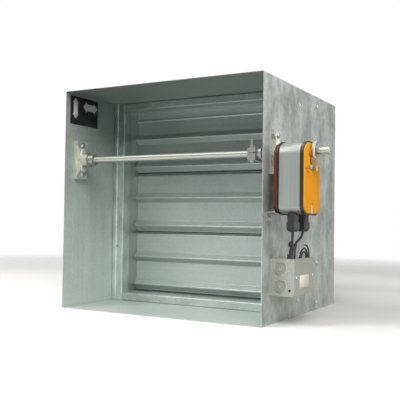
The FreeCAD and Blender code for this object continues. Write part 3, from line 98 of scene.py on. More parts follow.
# Materials
class Paint:
    """A principled material and the nodes that vary it over the surface"""

    def __init__(self, name, colour, metallic, roughness, **sockets):
        self.material = bpy.data.materials.new(name)
        self.material.use_nodes = True
        self.tree = self.material.node_tree
        self.shader = self.tree.nodes["Principled BSDF"]
        self.roughness = roughness
        self.shader.inputs["Base Color"].default_value = (*colour, 1)
        self.shader.inputs["Metallic"].default_value = metallic
        self.shader.inputs["Roughness"].default_value = roughness
        for socket, value in sockets.items():
            self.shader.inputs[socket.replace("_", " ")].default_value = value
        self.place = self.tree.nodes.new("ShaderNodeTexCoord").outputs["Object"]

    def node(self, kind, **settings):
        made = self.tree.nodes.new("ShaderNode" + kind)
        for key, value in settings.items():
            if key in made.inputs:
                made.inputs[key].default_value = value
            else:
                setattr(made, key, value)
        return made

    def link(self, source, target):
        self.tree.links.new(source, target)

    def calc(self, operation, *values, clamp=False):
        """A Math node's result, from sources and plain numbers"""
        step = self.node("Math", operation=operation, use_clamp=clamp)
        for socket, value in zip(step.inputs, values):
            if isinstance(value, bpy.types.NodeSocket):
                self.link(value, socket)
            else:
                socket.default_value = value
        return step.outputs["Value"]

    def stretched(self, scale):
        spread = self.node("Mapping")
        spread.inputs["Scale"].default_value = scale
        self.link(self.place, spread.inputs["Vector"])
        return spread.outputs["Vector"]

    def noise(self, scale, detail, stretch=None):
        made = self.node("TexNoise", Scale=scale, Detail=detail)
        self.link(self.stretched(stretch) if stretch else self.place, made.inputs["Vector"])
        return made.outputs["Fac"]

    def crystals(self, scale):
        """Grains of random tone with crooked edges"""
        wobble = 0.004
        bend = self.node("TexNoise", Scale=scale * 1.6, Detail=2.0)
        self.link(self.place, bend.inputs["Vector"])
        shift = self.node("VectorMath", operation="MULTIPLY_ADD")
        self.link(bend.outputs["Color"], shift.inputs[0])
        shift.inputs[1].default_value = (wobble, wobble, wobble)
        self.link(self.place, shift.inputs[2])
        cells = self.node("TexVoronoi", Scale=scale)
        self.link(shift.outputs["Vector"], cells.inputs["Vector"])
        tone = self.node("SeparateColor")
        self.link(cells.outputs["Color"], tone.inputs["Color"])
        return tone.outputs["Red"]

    def axis(self, letter):
        """The place along one axis, in metres"""
        split = self.node("SeparateXYZ")
        self.link(self.place, split.inputs["Vector"])
        return split.outputs[letter]

    def kept(self, source, mask):
        """A source where the mask is 1, and its middle value of 0.5 elsewhere"""
        return self.calc("MULTIPLY_ADD", self.calc("SUBTRACT", source, 0.5), mask, 0.5)

    def outside(self, source):
        """A source kept on the side walls' outer faces alone"""
        side = self.calc("ABSOLUTE", self.axis("X"))
        return self.kept(source, self.calc("GREATER_THAN", side, WALL_MIDDLE * 0.001))

    def within(self, source, letter, low, high):
        """A source kept between two places on an axis, in millimetres"""
        near = self.calc("COMPARE", self.axis(letter), (low + high) * 0.0005, (high - low) * 0.0005)
        return self.kept(source, near)

    def above(self, height):
        """A source that is 1 above a height in millimetres and 0.5 below it"""
        mask = self.calc("GREATER_THAN", self.axis("Z"), height * 0.001)
        return self.calc("MULTIPLY_ADD", mask, 0.5, 0.5)

    def inside_painted_shade(self, low, high):
        """A source that falls from 1 to 0 between two heights, inside the sleeve alone, as painted
        shade that deepens with height
        """
        ends = {"From Min": low * 0.001, "From Max": high * 0.001, "To Min": 1.0, "To Max": 0.0}
        fade = self.node("MapRange", **ends)
        self.link(self.axis("Z"), fade.inputs["Value"])
        between_walls = self.within(fade.outputs["Result"], "X", -WALL_MIDDLE, WALL_MIDDLE)
        return self.within(between_walls, "Z", ABOVE_FLOOR, ROOF_MIDDLE)

    def total(self, parts):
        """Sum of (source, weight) pairs, each source taken about its middle value of 0.5"""
        result = -0.5 * sum(weight for source, weight in parts)
        for source, weight in parts:
            result = self.calc("MULTIPLY_ADD", source, weight, result)
        return result

    def tone(self, parts, dark, light):
        """Colour between dark and light by the sum of the parts"""
        ramp = self.node("Mix", data_type="RGBA")
        self.link(self.calc("ADD", self.total(parts), 0.5, clamp=True), ramp.inputs["Factor"])
        for socket in ramp.inputs:
            if socket.type == "RGBA":
                socket.default_value = (*(dark if socket.name == "A" else light), 1)
        mixed = [socket for socket in ramp.outputs if socket.type == "RGBA"][0]
        self.link(mixed, self.shader.inputs["Base Color"])

    def rough(self, parts):
        """Roughness about the paint's own by the sum of the parts"""
        shift = self.calc("ADD", self.total(parts), self.roughness, clamp=True)
        self.link(shift, self.shader.inputs["Roughness"])

    def relief(self, parts, depth):
        """Bump of a depth in metres by the sum of the parts"""
        bump = self.node("Bump", Strength=1.0, Distance=depth)
        self.link(self.total(parts), bump.inputs["Height"])
        self.link(bump.outputs["Normal"], self.shader.inputs["Normal"])


def shades(colour, spread):
    """A darker and a lighter shade of a colour"""
    return ([c * (1 - spread) for c in colour], [min(c * (1 + spread), 1) for c in colour])


def galvanised(name, colour, run, roughness=0.38, streaks=0.7, spangle=0.25, metallic=0.55,
               mottle_and_roof_shade=0.0, fade=0.0, stains_and_head_shade=0.0):
    """Zinc-coated sheet: crystals, rolling streaks along run, soft clouds and a faint relief.
    Mottle blots the walls' outer faces, dulls the roof and paints the roof darker as shade. Stains are
    patches along the run, and the frame's head is painted darker as shade. Fade is painted shade that
    darkens the inside of the sleeve with height"""
    paint = Paint(name, colour, metallic, roughness)
    stretch = [3.0 if letter == run else 110.0 for letter in "xyz"]
    grain = paint.crystals(260.0)
    fine = paint.noise(800.0, 4.0)
    lines = paint.noise(1.0, 4.0, stretch)
    clouds = paint.noise(9.0, 3.0)
    parts = [(grain, spangle), (fine, 0.15), (lines, streaks), (clouds, 0.6)]
    wear = [(grain, 0.08), (lines, 0.16), (clouds, 0.10)]
    if mottle_and_roof_shade:
        roof = paint.above(ROOF_MIDDLE)
        blots = paint.noise(1.0, 5.0, (30.0, 26.0, 13.0))
        specks = paint.noise(90.0, 4.0)
        parts += [(paint.outside(blots), mottle_and_roof_shade * 3.0), (paint.outside(specks), mottle_and_roof_shade * 1.6)]
        # Painted shade: the roof's outer face is darker in tone, and it is also rougher
        parts.append((roof, -0.7))
        wear.append((roof, 0.7))
    if stains_and_head_shade:
        patches = paint.noise(1.0, 5.0, (70.0, 60.0, 22.0) if run == "z" else (22.0, 60.0, 70.0))
        parts.append((patches, stains_and_head_shade * 2.2))
        # Painted shade: the frame's head, above 410 mm, is painted darker
        if run == "x":
            parts.append((paint.above(410.0), -0.9))
    spread = 0.15 + 0.1 * mottle_and_roof_shade + 0.15 * stains_and_head_shade
    # Painted shade: the inside of the sleeve darkens with height
    if fade:
        painted_shade_spread = 0.35
        parts = [(source, weight * spread / painted_shade_spread) for source, weight in parts]
        parts.append((paint.inside_painted_shade(50.0, ROOF_MIDDLE), fade))
        spread = painted_shade_spread
    paint.tone(parts, *shades(colour, spread))
    paint.rough(wear)
    paint.relief([(lines, 0.6), (clouds, 1.0)], 0.00008)
    return paint.material


def plated(name, colour, roughness, metallic=0.9):
    """Bright plated steel with fine wear"""
    paint = Paint(name, colour, metallic, roughness)
    fine = paint.noise(600.0, 4.0)
    clouds = paint.noise(60.0, 3.0)
    paint.tone([(fine, 0.3), (clouds, 0.7)], *shades(colour, 0.06))
    paint.rough([(fine, 0.03), (clouds, 0.08)])
    return paint.material


def moulded(name, colour, roughness, grain=900.0, depth=0.00004, spread=0.08, shine=0.5):
    """Moulded plastic or rubber with a fine skin texture"""
    paint = Paint(name, colour, 0.0, roughness, Specular_IOR_Level=shine)
    fine = paint.noise(grain, 2.0)
    clouds = paint.noise(25.0, 3.0)
    paint.tone([(fine, 0.4), (clouds, 0.8)], *shades(colour, spread))
    paint.rough([(fine, 0.10), (clouds, 0.14)])
    paint.relief([(fine, 1.0)], depth)
    return paint.material


def brushed(name, colour, run):
    """Brushed aluminium with fine lines along run"""
    paint = Paint(name, colour, 0.75, 0.48)
    stretch = [8.0 if letter in run else 900.0 for letter in "xyz"]
    lines = paint.noise(1.0, 3.0, stretch)
    clouds = paint.noise(14.0, 3.0)
    paint.tone([(lines, 1.2), (clouds, 0.4)], *shades(colour, 0.14))
    paint.rough([(lines, 0.10), (clouds, 0.08)])
    paint.relief([(lines, 1.0)], 0.00001)
    return paint.material


ZINC = (0.475, 0.55, 0.525)
# The sleeve and the jambs get darker with height inside the sleeve as painted shade; the sleeve's roof
# and the channel's head are painted darker as shade
SLEEVE = galvanised("sleeve_sheet", (0.48, 0.54, 0.505), "z", metallic=0.35, mottle_and_roof_shade=1.0, fade=0.85)
CHANNEL = galvanised("channel_sheet", ZINC, "x", streaks=0.35, stains_and_head_shade=0.7)
JAMB = galvanised("jamb_sheet", (0.46, 0.53, 0.505), "z", streaks=0.35, fade=0.85, stains_and_head_shade=1.0)
BLADE = galvanised("blade_sheet", ZINC, "x", streaks=0.6, spangle=0.3)
BOX = galvanised("box_sheet", (0.42, 0.44, 0.39), "z", 0.46, streaks=0.2, metallic=0.3)
DISC = galvanised("disc_sheet", (0.33, 0.36, 0.31), "z", 0.46, streaks=0.2, metallic=0.3)
RIM = plated("rim_steel", (0.74, 0.75, 0.66), 0.36, 0.6)
STAINLESS = plated("spring_steel", (0.50, 0.52, 0.49), 0.3)
BEARING = plated("bearing_steel", (0.70, 0.73, 0.66), 0.32, 0.75)
PLATED = plated("plated_steel", (0.49, 0.51, 0.465), 0.34, 0.8)
DULL = plated("dull_steel", (0.40, 0.42, 0.40), 0.42)
FASTENER = plated("fastener_steel", (0.66, 0.67, 0.62), 0.25)
SILVER = brushed("silver_shell", (0.34, 0.375, 0.355), "yz")
ORANGE = moulded("orange_cover", (1.0, 0.40, 0.012), 0.50, shine=0.12)
# The back cover is orange like the front one, painted dark red as shade
BACK_ORANGE_IN_SHADE = moulded("back_cover", (0.13, 0.025, 0.016), 0.50, shine=0.12)
BLACK = moulded("black_bezel", (0.016, 0.017, 0.017), 0.36)
GLAND = moulded("gland_plastic", (0.022, 0.025, 0.025), 0.40)
CABLE = moulded("cable_skin", (0.020, 0.022, 0.022), 0.42, 500.0)
TAPE = moulded("tape_skin", (0.018, 0.019, 0.019), 0.45, 350.0, 0.0001)
PALE_WIRE = moulded("pale_wire", (0.62, 0.63, 0.60), 0.45)
RUBBER = moulded("seal_rubber", (0.055, 0.058, 0.055), 0.62, 600.0, 0.00008, 0.15)
LABEL = moulded("label_black", (0.012, 0.013, 0.013), 0.32)
WHITE = moulded("label_white", (0.66, 0.68, 0.65), 0.45)
IVORY = moulded("ivory_plate", (0.92, 0.89, 0.76), 0.40)

# The nodes that wear each material
WORN_BY = {
    SLEEVE: "sleeve_lower sleeve_upper",
    CHANNEL: "frame_sill frame_head",
    JAMB: "frame_jamb_left frame_jamb_right",
    BLADE: "blade_bottom blade_middle blade_top head_stop sill_stop",
    STAINLESS: "jamb_seal_left jamb_seal_right axle_bushes",
    RUBBER: "blade_seal_bottom blade_seal_middle blade_seal_top lead_bushing",
    BEARING: "shaft_bearing_left shaft_bearing_right",
    PLATED: "jackshaft bearing_bolts_right anti_turn_strap clamp_hub clamp_jaws clamp_u_bolt "
            "clamp_nuts crank_clamp_bolt",
    DULL: "bearing_bolts_left drive_crank thrust_washer shaft_collar drive_link tie_bar "
          "blade_axles_bottom blade_axles_middle blade_axles_top "
          "axle_straps_bottom axle_straps_middle axle_straps_top "
          "blade_crank_bottom blade_crank_middle blade_crank_top",
    ORANGE: "actuator_front_cover",
    BACK_ORANGE_IN_SHADE: "actuator_back_cover",
    BLACK: "actuator_front_bezel actuator_back_bezel",
    SILVER: "actuator_body",
    GLAND: "gland_bodies gland_nuts",
    BOX: "junction_box box_cover",
    DISC: "knockout_discs",
}
for material, names in WORN_BY.items():
    for name in names.split():
        skin = NODES[name].data.materials
        skin.clear()
        skin.append(material)


# Leads and wires: radius and length in millimetres, and the same route points as the solids
ROUTES = {
    "actuator_lead_front": (2.3, 67.6, [
        (GLAND_X, GLANDS_Y[0], 181.9), (GLAND_X, GLANDS_Y[0], 161.0), (272.65, -172.0, 148.2),
        (266.0, -162.4, 135.2), (LEAD_X, -158.9, LEAD_END)]),
    "actuator_lead_back": (2.3, 67.9, [
        (GLAND_X, GLANDS_Y[1], 181.9), (GLAND_X, GLANDS_Y[1], 162.0), (271.15, -145.5, 151.2),
        (266.0, -151.6, 139.2), (LEAD_X, -154.1, LEAD_END)]),
    "wire_loop_outer": (1.5, 120.1, [
        (WIRE_X, -146.9, WIRE_END), (WIRE_X, -146.9, 139.2), (268.0, -134.9, 148.2),
        (WIRE_X, -105.9, 147.2), (WIRE_X, -80.9, 142.2), (WIRE_X, -72.9, 129.2),
        (WIRE_X, -72.9, WIRE_END)]),
    "wire_loop_middle": (1.5, 71.9, [
        (WIRE_X, -123.4, WIRE_END), (WIRE_X, -123.4, 128.2), (WIRE_X, -98.4, 141.2),
        (WIRE_X, -81.4, 129.2), (WIRE_X, -81.4, WIRE_END)]),
    "wire_loop_inner": (1.5, 49.6, [
        (WIRE_X, -115.4, WIRE_END), (WIRE_X, -115.4, 125.2), (WIRE_X, -99.4, 134.2),
        (WIRE_X, -88.4, 125.2), (WIRE_X, -88.4, WIRE_END)]),
}


def route_line(name, points):
    """A smooth line through a route's points"""
    data = bpy.data.curves.new(name, "CURVE")
    data.dimensions = "3D"
    spline = data.splines.new("NURBS")
    spline.points.add(len(points) - 1)
    for spot, point in zip(spline.points, points):
        spot.co = (*mm(*point), 1)
    spline.order_u = 3
    spline.use_endpoint_u = True
    spline.resolution_u = 16
    return data


def lay_cord(name, radius, points, on_it):
    """A lead or wire in place of its solid; the pieces in on_it are not used"""
    data = route_line(name + "_skin", points)
    data.bevel_depth = radius * 0.001
    data.bevel_resolution = 6
    data.use_fill_caps = True
    data.materials.append(CABLE)
    piece = bpy.data.objects.new(name + "_skin", data)
    scene.collection.objects.link(piece)
    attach(piece, FRAME_BODY)
    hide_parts(name)


# Mesh helpers: all lengths in millimetres, and the mesh in metres
def finish_piece(name, mesh, material, body, sharp=35):
    """A mesh as a piece that rides on a body, smooth up to an angle in degrees"""
    data = bpy.data.meshes.new(name)
    bmesh.ops.recalc_face_normals(mesh, faces=mesh.faces)
    mesh.to_mesh(data)
    mesh.free()
    data.materials.append(material)
    data.shade_smooth()
    data.set_sharp_from_angle(angle=math.radians(sharp))
    piece = bpy.data.objects.new(name, data)
    scene.collection.objects.link(piece)
    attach(piece, body)
    return piece


def bridge(mesh, rings):
    """Faces between each ring of corners and the next, where a ring of one corner is a tip"""
    steps = max(len(ring) for ring in rings)
    for low, high in zip(rings, rings[1:]):
        for i in range(steps):
            after = (i + 1) % steps
            corners = [low[i % len(low)], low[after % len(low)],
                       high[after % len(high)], high[i % len(high)]]
            corners = list(dict.fromkeys(corners))
            if len(corners) > 2:
                mesh.faces.new(corners)


def add_turned(mesh, profile, at, way, steps=28):
    """A profile of (height, radius), turned about the way through at"""
    turn = Vector((0, 0, 1)).rotation_difference(Vector(way)).to_matrix()
    base = mm(*at)
    rings = []
    for height, radius in profile:
        count = 1 if radius == 0 else steps
        spots = []
        for i in range(count):
            angle = 2 * math.pi * i / steps
            spot = mm(radius * math.cos(angle), radius * math.sin(angle), height)
            spots.append(mesh.verts.new(base + turn @ spot))
        rings.append(spots)
    bridge(mesh, rings)


def add_hex_screw(mesh, at, way, across, height, collar):
    """Hexagon head with a round collar, as on a self-drilling sheet screw"""
    corner = across / math.sqrt(3)
    add_turned(mesh, [(0, collar), (0.7, collar), (1.1, collar - 0.7), (1.1, 0)], at, way)
    add_turned(mesh, [(0.6, corner), (height - 0.5, corner), (height, corner - 0.7),
                      (height, corner * 0.5), (height - 0.5, corner * 0.4), (height - 0.5, 0)],
               at, way, 6)


def add_cross_screw(mesh, at, way, radius, height):
    """Pan head with a cross recess, whose sizes are shares of the head's"""
    turn = Vector((0, 0, 1)).rotation_difference(Vector(way)).to_matrix()
    base = mm(*at)
    steps = 48
    half_slot, slot_reach, slot_depth = 0.13, 0.54, 0.6
    shares = [0.0, 0.08, 0.15, 0.22, 0.29, 0.36, 0.44, 0.52, 0.56, 0.66, 0.78, 0.88, 0.95, 1.0, 1.0]
    rings = []
    for number, share in enumerate(shares):
        spots = []
        for i in range(1 if number == 0 else steps):
            angle = 2 * math.pi * i / steps
            x, y = share * math.cos(angle), share * math.sin(angle)
            rise = height * math.sqrt(max(1 - 0.78 * share * share, 0))
            if number == len(shares) - 1:
                rise = 0
            near, far = min(abs(x), abs(y)), max(abs(x), abs(y))
            if near < half_slot and far < slot_reach:
                rise -= height * slot_depth
            spots.append(mesh.verts.new(base + turn @ mm(x * radius, y * radius, rise)))
        rings.append(spots)
    bridge(mesh, rings)


def add_thread(mesh, at, way, radius, length, pitch=1.0):
    """Ridges of a screw thread round a plain bolt"""
    groove, ridge = radius - 0.1, radius + 0.45
    profile = [(0, groove)]
    height = 0.0
    while height + pitch <= length:
        profile += [(height + pitch * 0.5, ridge), (height + pitch, groove)]
        height += pitch
    add_turned(mesh, profile, at, way, 24)


def add_slab(mesh, corners, at, across, up, thick, edge=0.15):
    """A thin plate: corners in the plane of across and up, with its rim bevelled"""
    base, across, up = mm(*at), Vector(across), Vector(up)
    out = across.cross(up)
    middle = Vector((sum(c[0] for c in corners), sum(c[1] for c in corners))) / len(corners)
    levels = []
    for height, inset in ((0, 0), (thick - edge, 0), (thick, edge)):
        ring = []
        for u, v in corners:
            pull = Vector((u, v)) - middle
            pull = pull * (1 - inset / max(pull.length, 0.01))
            offset = across * (middle.x + pull.x) + up * (middle.y + pull.y) + out * height
            ring.append(mesh.verts.new(base + offset * 0.001))
        levels.append(ring)
    bridge(mesh, levels)
    mesh.faces.new(levels[-1])
    mesh.faces.new(levels[0][::-1])


def add_tube(mesh, spots, radius):
    """A tube with closed ends through points in metres"""
    steps = 14
    rings = []
    for number, spot in enumerate(spots):
        way = (spots[min(number + 1, len(spots) - 1)] - spots[max(number - 1, 0)]).normalized()
        side = way.cross(Vector((1, 0, 0))).normalized()
        other = way.cross(side)
        ring = []
        for i in range(steps):
            angle = 2 * math.pi * i / steps
            offset = (side * math.cos(angle) + other * math.sin(angle)) * radius
            ring.append(mesh.verts.new(spot + offset * 0.001))
        rings.append(ring)
    bridge(mesh, rings)
    mesh.faces.new(rings[0])
    mesh.faces.new(rings[-1][::-1])


def round_corners(width, height, radius):
    """Corners of a rectangle with round corners about its middle"""
    steps = 5
    corners = []
    for sign_x, sign_y, first in ((1, 1, 0), (-1, 1, 90), (-1, -1, 180), (1, -1, 270)):
        for i in range(steps + 1):
            angle = math.radians(first + 90 * i / steps)
            corners.append((sign_x * (width / 2 - radius) + radius * math.cos(angle),
                            sign_y * (height / 2 - radius) + radius * math.sin(angle)))
    return corners


# Screws that hold the channel frame in the sleeve, in two rows on both side walls
def frame_screws():
    mesh = bmesh.new()
    seat = HALF_WIDTH - 0.1
    for sign in (-1.0, 1.0):
        for y, heights in ((-26.0, (30.0, 120.0, 422.6)), (79.0, (16.0, 101.0, 436.0))):
            for z in heights:
                add_hex_screw(mesh, (seat * sign, y, z), (sign, 0, 0), 5.5, 2.6, 4.0)
    finish_piece("frame_screws", mesh, FASTENER, FRAME_BODY)


# Pop rivets through the front legs of the jambs
def jamb_fasteners():
    mesh = bmesh.new()
    head = [(0, 3.4), (0.5, 3.4), (1.3, 2.2), (1.5, 0.9), (1.0, 0.8), (1.0, 0)]
    for sign in (-1.0, 1.0):
        for z in (125.0, 235.0, 352.0):
            add_turned(mesh, head, (214.0 * sign, JAMB_FRONT, z), (0, -1, 0))
    finish_piece("jamb_rivets", mesh, DULL, FRAME_BODY)


# Rivets that hold the axle straps, flush at the front and headed behind the blades
def blade_rivets():
    head = [(0, 3.2), (0.4, 3.2), (1.4, 2.0), (1.6, 0)]
    for name, z in BLADES.items():
        mesh = bmesh.new()
        for sign in (-1.0, 1.0):
            for rise in (-18.7, 18.7):
                add_turned(mesh, head, (155.0 * sign, 25.0, z + rise), (0, 1, 0))
        finish_piece("blade_rivets_" + name, mesh, FASTENER, "blade_set_" + name)


# Junction box: cover screws, a spare round, a screw and a black disc painted as a hole's shade on its
# front face, a bare plate
def box_details():
    mesh = bmesh.new()
    for y in (-157.8, -75.3):
        add_cross_screw(mesh, (BOX_FACE, y, 86.8), (1, 0, 0), 3.6, 2.0)
    add_cross_screw(mesh, (267.3, BOX_FRONT, 77.5), (0, -1, 0), 2.6, 1.4)
    add_hex_screw(mesh, (236.0, -112.0, 120.2), (0, 0, 1), 5.0, 2.2, 3.8)
    finish_piece("box_screws", mesh, FASTENER, FRAME_BODY)
    mesh = bmesh.new()
    spare = [(0, 4.6), (0.25, 4.5), (0.3, 4.0), (0.1, 3.7), (0.1, 0)]
    add_turned(mesh, spare, (266.9, BOX_FRONT, 101.5), (0, -1, 0))
    centre = [(0, 3.4), (0.2, 3.3), (0.25, 2.9), (0.05, 2.6), (0.05, 0)]
    for z in KNOCKOUTS_Z:
        add_turned(mesh, centre, (KNOCKOUT_X, BOX_FRONT + 0.4, z), (0, -1, 0))
    finish_piece("box_embossings", mesh, BOX, FRAME_BODY)
    # Raised rims round the knock-outs: real ridges, in a brighter steel than the box sheet as a
    # painted highlight
    mesh = bmesh.new()
    rim = [(0, 11.0), (0.5, 11.25), (0.7, 11.8), (0.5, 12.4), (0, 12.8)]
    for z in KNOCKOUTS_Z:
        add_turned(mesh, rim, (KNOCKOUT_X, BOX_FRONT, z), (0, -1, 0), 40)
    finish_piece("round_rims", mesh, STAINLESS, FRAME_BODY)
    # A thin black disc, painted as the shade of a hole
    mesh = bmesh.new()
    add_turned(mesh, [(0, 2.4), (0.15, 2.3), (0.15, 0)], (267.6, BOX_FRONT, 64.2), (0, -1, 0))
    finish_piece("box_hole_painted_shade", mesh, LABEL, FRAME_BODY)
    mesh = bmesh.new()
    plate = round_corners(46.9, 23.5, 1.2)
    add_slab(mesh, plate, (BOX_FACE, -118.2, 78.2), (0, 1, 0), (0, 0, 1), 0.5)
    finish_piece("bare_plate", mesh, IVORY, FRAME_BODY, 60)


# Width and height of the drive's round corners in the picture
CORNER_ABOVE = (27.0, 24.0)
CORNER_BELOW = (22.0, 16.0)


def rounder_corners(node, inset, material):
    """A shell of the drive, inset from its outline, with the corners of the picture"""
    data = NODES[node].data.copy()
    if "custom_normal" in data.attributes:
        data.attributes.remove(data.attributes["custom_normal"])
    mesh = bmesh.new()
    mesh.from_mesh(data)
    bmesh.ops.remove_doubles(mesh, verts=mesh.verts, dist=0.000002)
    half, old = DRIVE_HALF - inset, DRIVE_CORNER - inset
    low, high = DRIVE_BOTTOM + inset, DRIVE_TOP - inset
    middle = (low + high) / 2
    for spot in mesh.verts:
        side = abs(spot.co.y * 1000 - SHAFT[0])
        above = spot.co.z * 1000 > middle
        across = side - (half - old)
        along = spot.co.z * 1000 - (high - old) if above else low + old - spot.co.z * 1000
        if across < -0.01 or along < -0.01:
            continue
        wide, tall = (size - inset for size in (CORNER_ABOVE if above else CORNER_BELOW))
        sign = 1 if spot.co.y * 1000 > SHAFT[0] else -1
        spot.co.y = (SHAFT[0] + sign * (half - wide + across * wide / old)) * 0.001
        rise = along * tall / old - tall
        spot.co.z = (high + rise if above else low - rise) * 0.001
    piece = finish_piece(node + "_skin", mesh, material, FRAME_BODY)
    bpy.data.meshes.remove(data)
    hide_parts(node)


def drive_shells():
    rounder_corners("actuator_front_cover", 3.0, ORANGE)
    rounder_corners("actuator_back_cover", 3.0, BACK_ORANGE_IN_SHADE)
    rounder_corners("actuator_front_bezel", 0.0, BLACK)
    rounder_corners("actuator_back_bezel", 0.0, BLACK)
    rounder_corners("actuator_body", 2.0, SILVER)
    mesh = bmesh.new()
    for y in GLANDS_Y:
        add_turned(mesh, [(0, 0), (0, 9.2), (7.5, 9.2), (7.5, 0)], (GLAND_X, y, 201.4), (0, 0, 1))
    finish_piece("gland_seats", mesh, GLAND, FRAME_BODY)


# Stamped necks and ears on the bearings' plates
def bearing_stampings():
    mesh = bmesh.new()
    neck = [(-9.5, 8.0), (11.0, 8.0), (12.5, 24.0), (-4.5, 24.0)]
    ear = [(8.0, 25.5), (17.0, 25.5), (17.0, 40.0), (8.0, 40.0)]
    for x in (-225.2, 231.0):
        for corners, thick in ((neck, 9.5), (ear, 6.0)):
            for outline in (corners, [(y, -z) for y, z in corners[::-1]]):
                add_slab(mesh, outline, (x, *SHAFT), (0, 1, 0), (0, 0, 1), thick, 0.8)
    finish_piece("bearing_stampings", mesh, RIM, FRAME_BODY, 60)


# Pale latch in the notch of the actuator's cover
def cover_latch():
    mesh = bmesh.new()
    latch = round_corners(6.4, 16.6, 0.8)
    add_slab(mesh, latch, (302.3, SHAFT[0], 210.9), (0, 1, 0), (0, 0, 1), 1.5, 0.3)
    finish_piece("cover_latch", mesh, RIM, FRAME_BODY, 60)


# Screw of the anti-turn strap
def strap_screw():
    mesh = bmesh.new()
    add_cross_screw(mesh, (230.6, -176.0, 194.0), (1, 0, 0), 3.6, 2.0)
    finish_piece("strap_screw", mesh, FASTENER, FRAME_BODY)


# Orientation label inside the left wall: a black plate with two plain double arrows
def arrow(length, width, shaft, head):
    tip, neck = length / 2, length / 2 - head
    wide, slim = width / 2, shaft / 2
    return [(-tip, 0), (-neck, -wide), (-neck, -slim), (neck, -slim), (neck, -wide),
            (tip, 0), (neck, wide), (neck, slim), (-neck, slim), (-neck, wide)]


def orientation_label():
    mesh = bmesh.new()
    thick = 0.3
    plate = round_corners(93.0, 61.0, 2.0)
    add_slab(mesh, plate, (-WALL_INSIDE, -143.5, 421.5), (0, 1, 0), (0, 0, 1), thick)
    finish_piece("orientation_label", mesh, LABEL, FRAME_BODY, 60)
    mesh = bmesh.new()
    face = thick - WALL_INSIDE
    upright, level = arrow(46.0, 20.0, 13.0, 11.0), arrow(49.0, 23.0, 15.0, 12.0)
    add_slab(mesh, upright, (face, -173.0, 426.0), (0, 0, 1), (0, -1, 0), 0.08, 0.02)
    add_slab(mesh, level, (face, -123.5, 433.0), (0, 1, 0), (0, 0, 1), 0.08, 0.02)
    finish_piece("label_arrows", mesh, WHITE, FRAME_BODY, 60)


# Threads of the crank's clamp bolt and of the bearing bolts, and the collar's set screw
def threads():
    mesh = bmesh.new()
    add_thread(mesh, (191.2, SHAFT[0] - 10.55, SHAFT[1] + 14.6), (0, 0, 1), 3.0, 9.6)
    add_turned(mesh, [(0, 2.4), (1.2, 2.4), (1.3, 1.4), (0.6, 1.2), (0.6, 0)],
               (-190.5, SHAFT[0] - 10.4, SHAFT[1]), (0, -1, 0), 6)
    tilt = math.radians(32)
    lean, rise = math.sin(tilt), math.cos(tilt)
    drop = 31.0
    for side in (-15.0, 15.0):
        start = (310.8, SHAFT[0] + side * rise - drop * lean, SHAFT[1] + side * lean - drop * rise)
        add_thread(mesh, start, (0, lean, rise), 2.9, 7.6, 0.9)
    finish_piece("shaft_threads", mesh, PLATED, SHAFT_BODY)
    mesh = bmesh.new()
    for z in (SHAFT[1] - BEARING_BOLT_RISE, SHAFT[1] + BEARING_BOLT_RISE):
        add_thread(mesh, (-233.7, SHAFT[0], z), (-1, 0, 0), 3.0, 1.8, 0.9)
        add_thread(mesh, (222.5, SHAFT[0], z), (-1, 0, 0), 3.0, 1.8, 0.9)
    finish_piece("bolt_threads", mesh, PLATED, FRAME_BODY)


# Tape wound round both leads where they enter the box
def lead_tape():
    mesh = bmesh.new()
    rings = []
    steps = 20
    levels = 26
    bottom, tall = 122.0, 22.0
    for row in range(levels + 1):
        share = row / levels
        middle = Vector((264.4 + 4.6 * share ** 1.5, -156.4 - 3.0 * share ** 2))
        spread = 2.6 + 5.0 * share ** 1.6
        ring = []
        for i in range(steps):
            angle = 2 * math.pi * i / steps
            spot = Vector((math.cos(angle) * 1.4, math.sin(angle) * 1.4, share * 5))
            bulge = 1 + 0.05 * math.sin(share * 40 + angle) + 0.16 * noise.noise(spot)
            along = (spread + 3.4) * bulge * math.cos(angle)
            across = 3.7 * bulge * math.sin(angle)
            ring.append(mesh.verts.new(mm(middle.x + across, middle.y + along, bottom + tall * share)))
        rings.append(ring)
    bridge(mesh, rings)
    mesh.faces.new(rings[0][::-1])
    mesh.faces.new(rings[-1])
    bulb = [(0, 0), (0.4, 3.4), (3.0, 4.9), (6.5, 4.6), (9.6, 3.6), (10.0, 0)]
    add_turned(mesh, bulb, (269.2, -171.0, 142.6), (0.35, -0.3, 1.0), 20)
    finish_piece("lead_tape", mesh, TAPE, FRAME_BODY, 60)


# A pale tube round the top run of the outer wire, and then the leads and wires
def pale_wire_tube():
    line = bpy.data.objects.new("pale_tube_line", route_line("pale_tube_line", ROUTES["wire_loop_outer"][2]))
    thread = bpy.data.meshes.new_from_object(line)
    front, back, lowest = -0.139, -0.098, 0.144
    spots = [v.co.copy() for v in thread.vertices if front < v.co.y < back and v.co.z > lowest]
    bpy.data.objects.remove(line)
    bpy.data.meshes.remove(thread)
    mesh = bmesh.new()
    add_tube(mesh, sorted(spots, key=lambda spot: spot.y), 1.9)
    return finish_piece("pale_wire_tube", mesh, PALE_WIRE, FRAME_BODY, 60)


for name, (radius, length, points) in ROUTES.items():
    lay_cord(name, radius, points, [pale_wire_tube()] if name == "wire_loop_outer" else [])


frame_screws()
jamb_fasteners()
blade_rivets()
box_details()
drive_shells()
bearing_stampings()
cover_latch()
strap_screw()
orientation_label()
threads()
lead_tape()


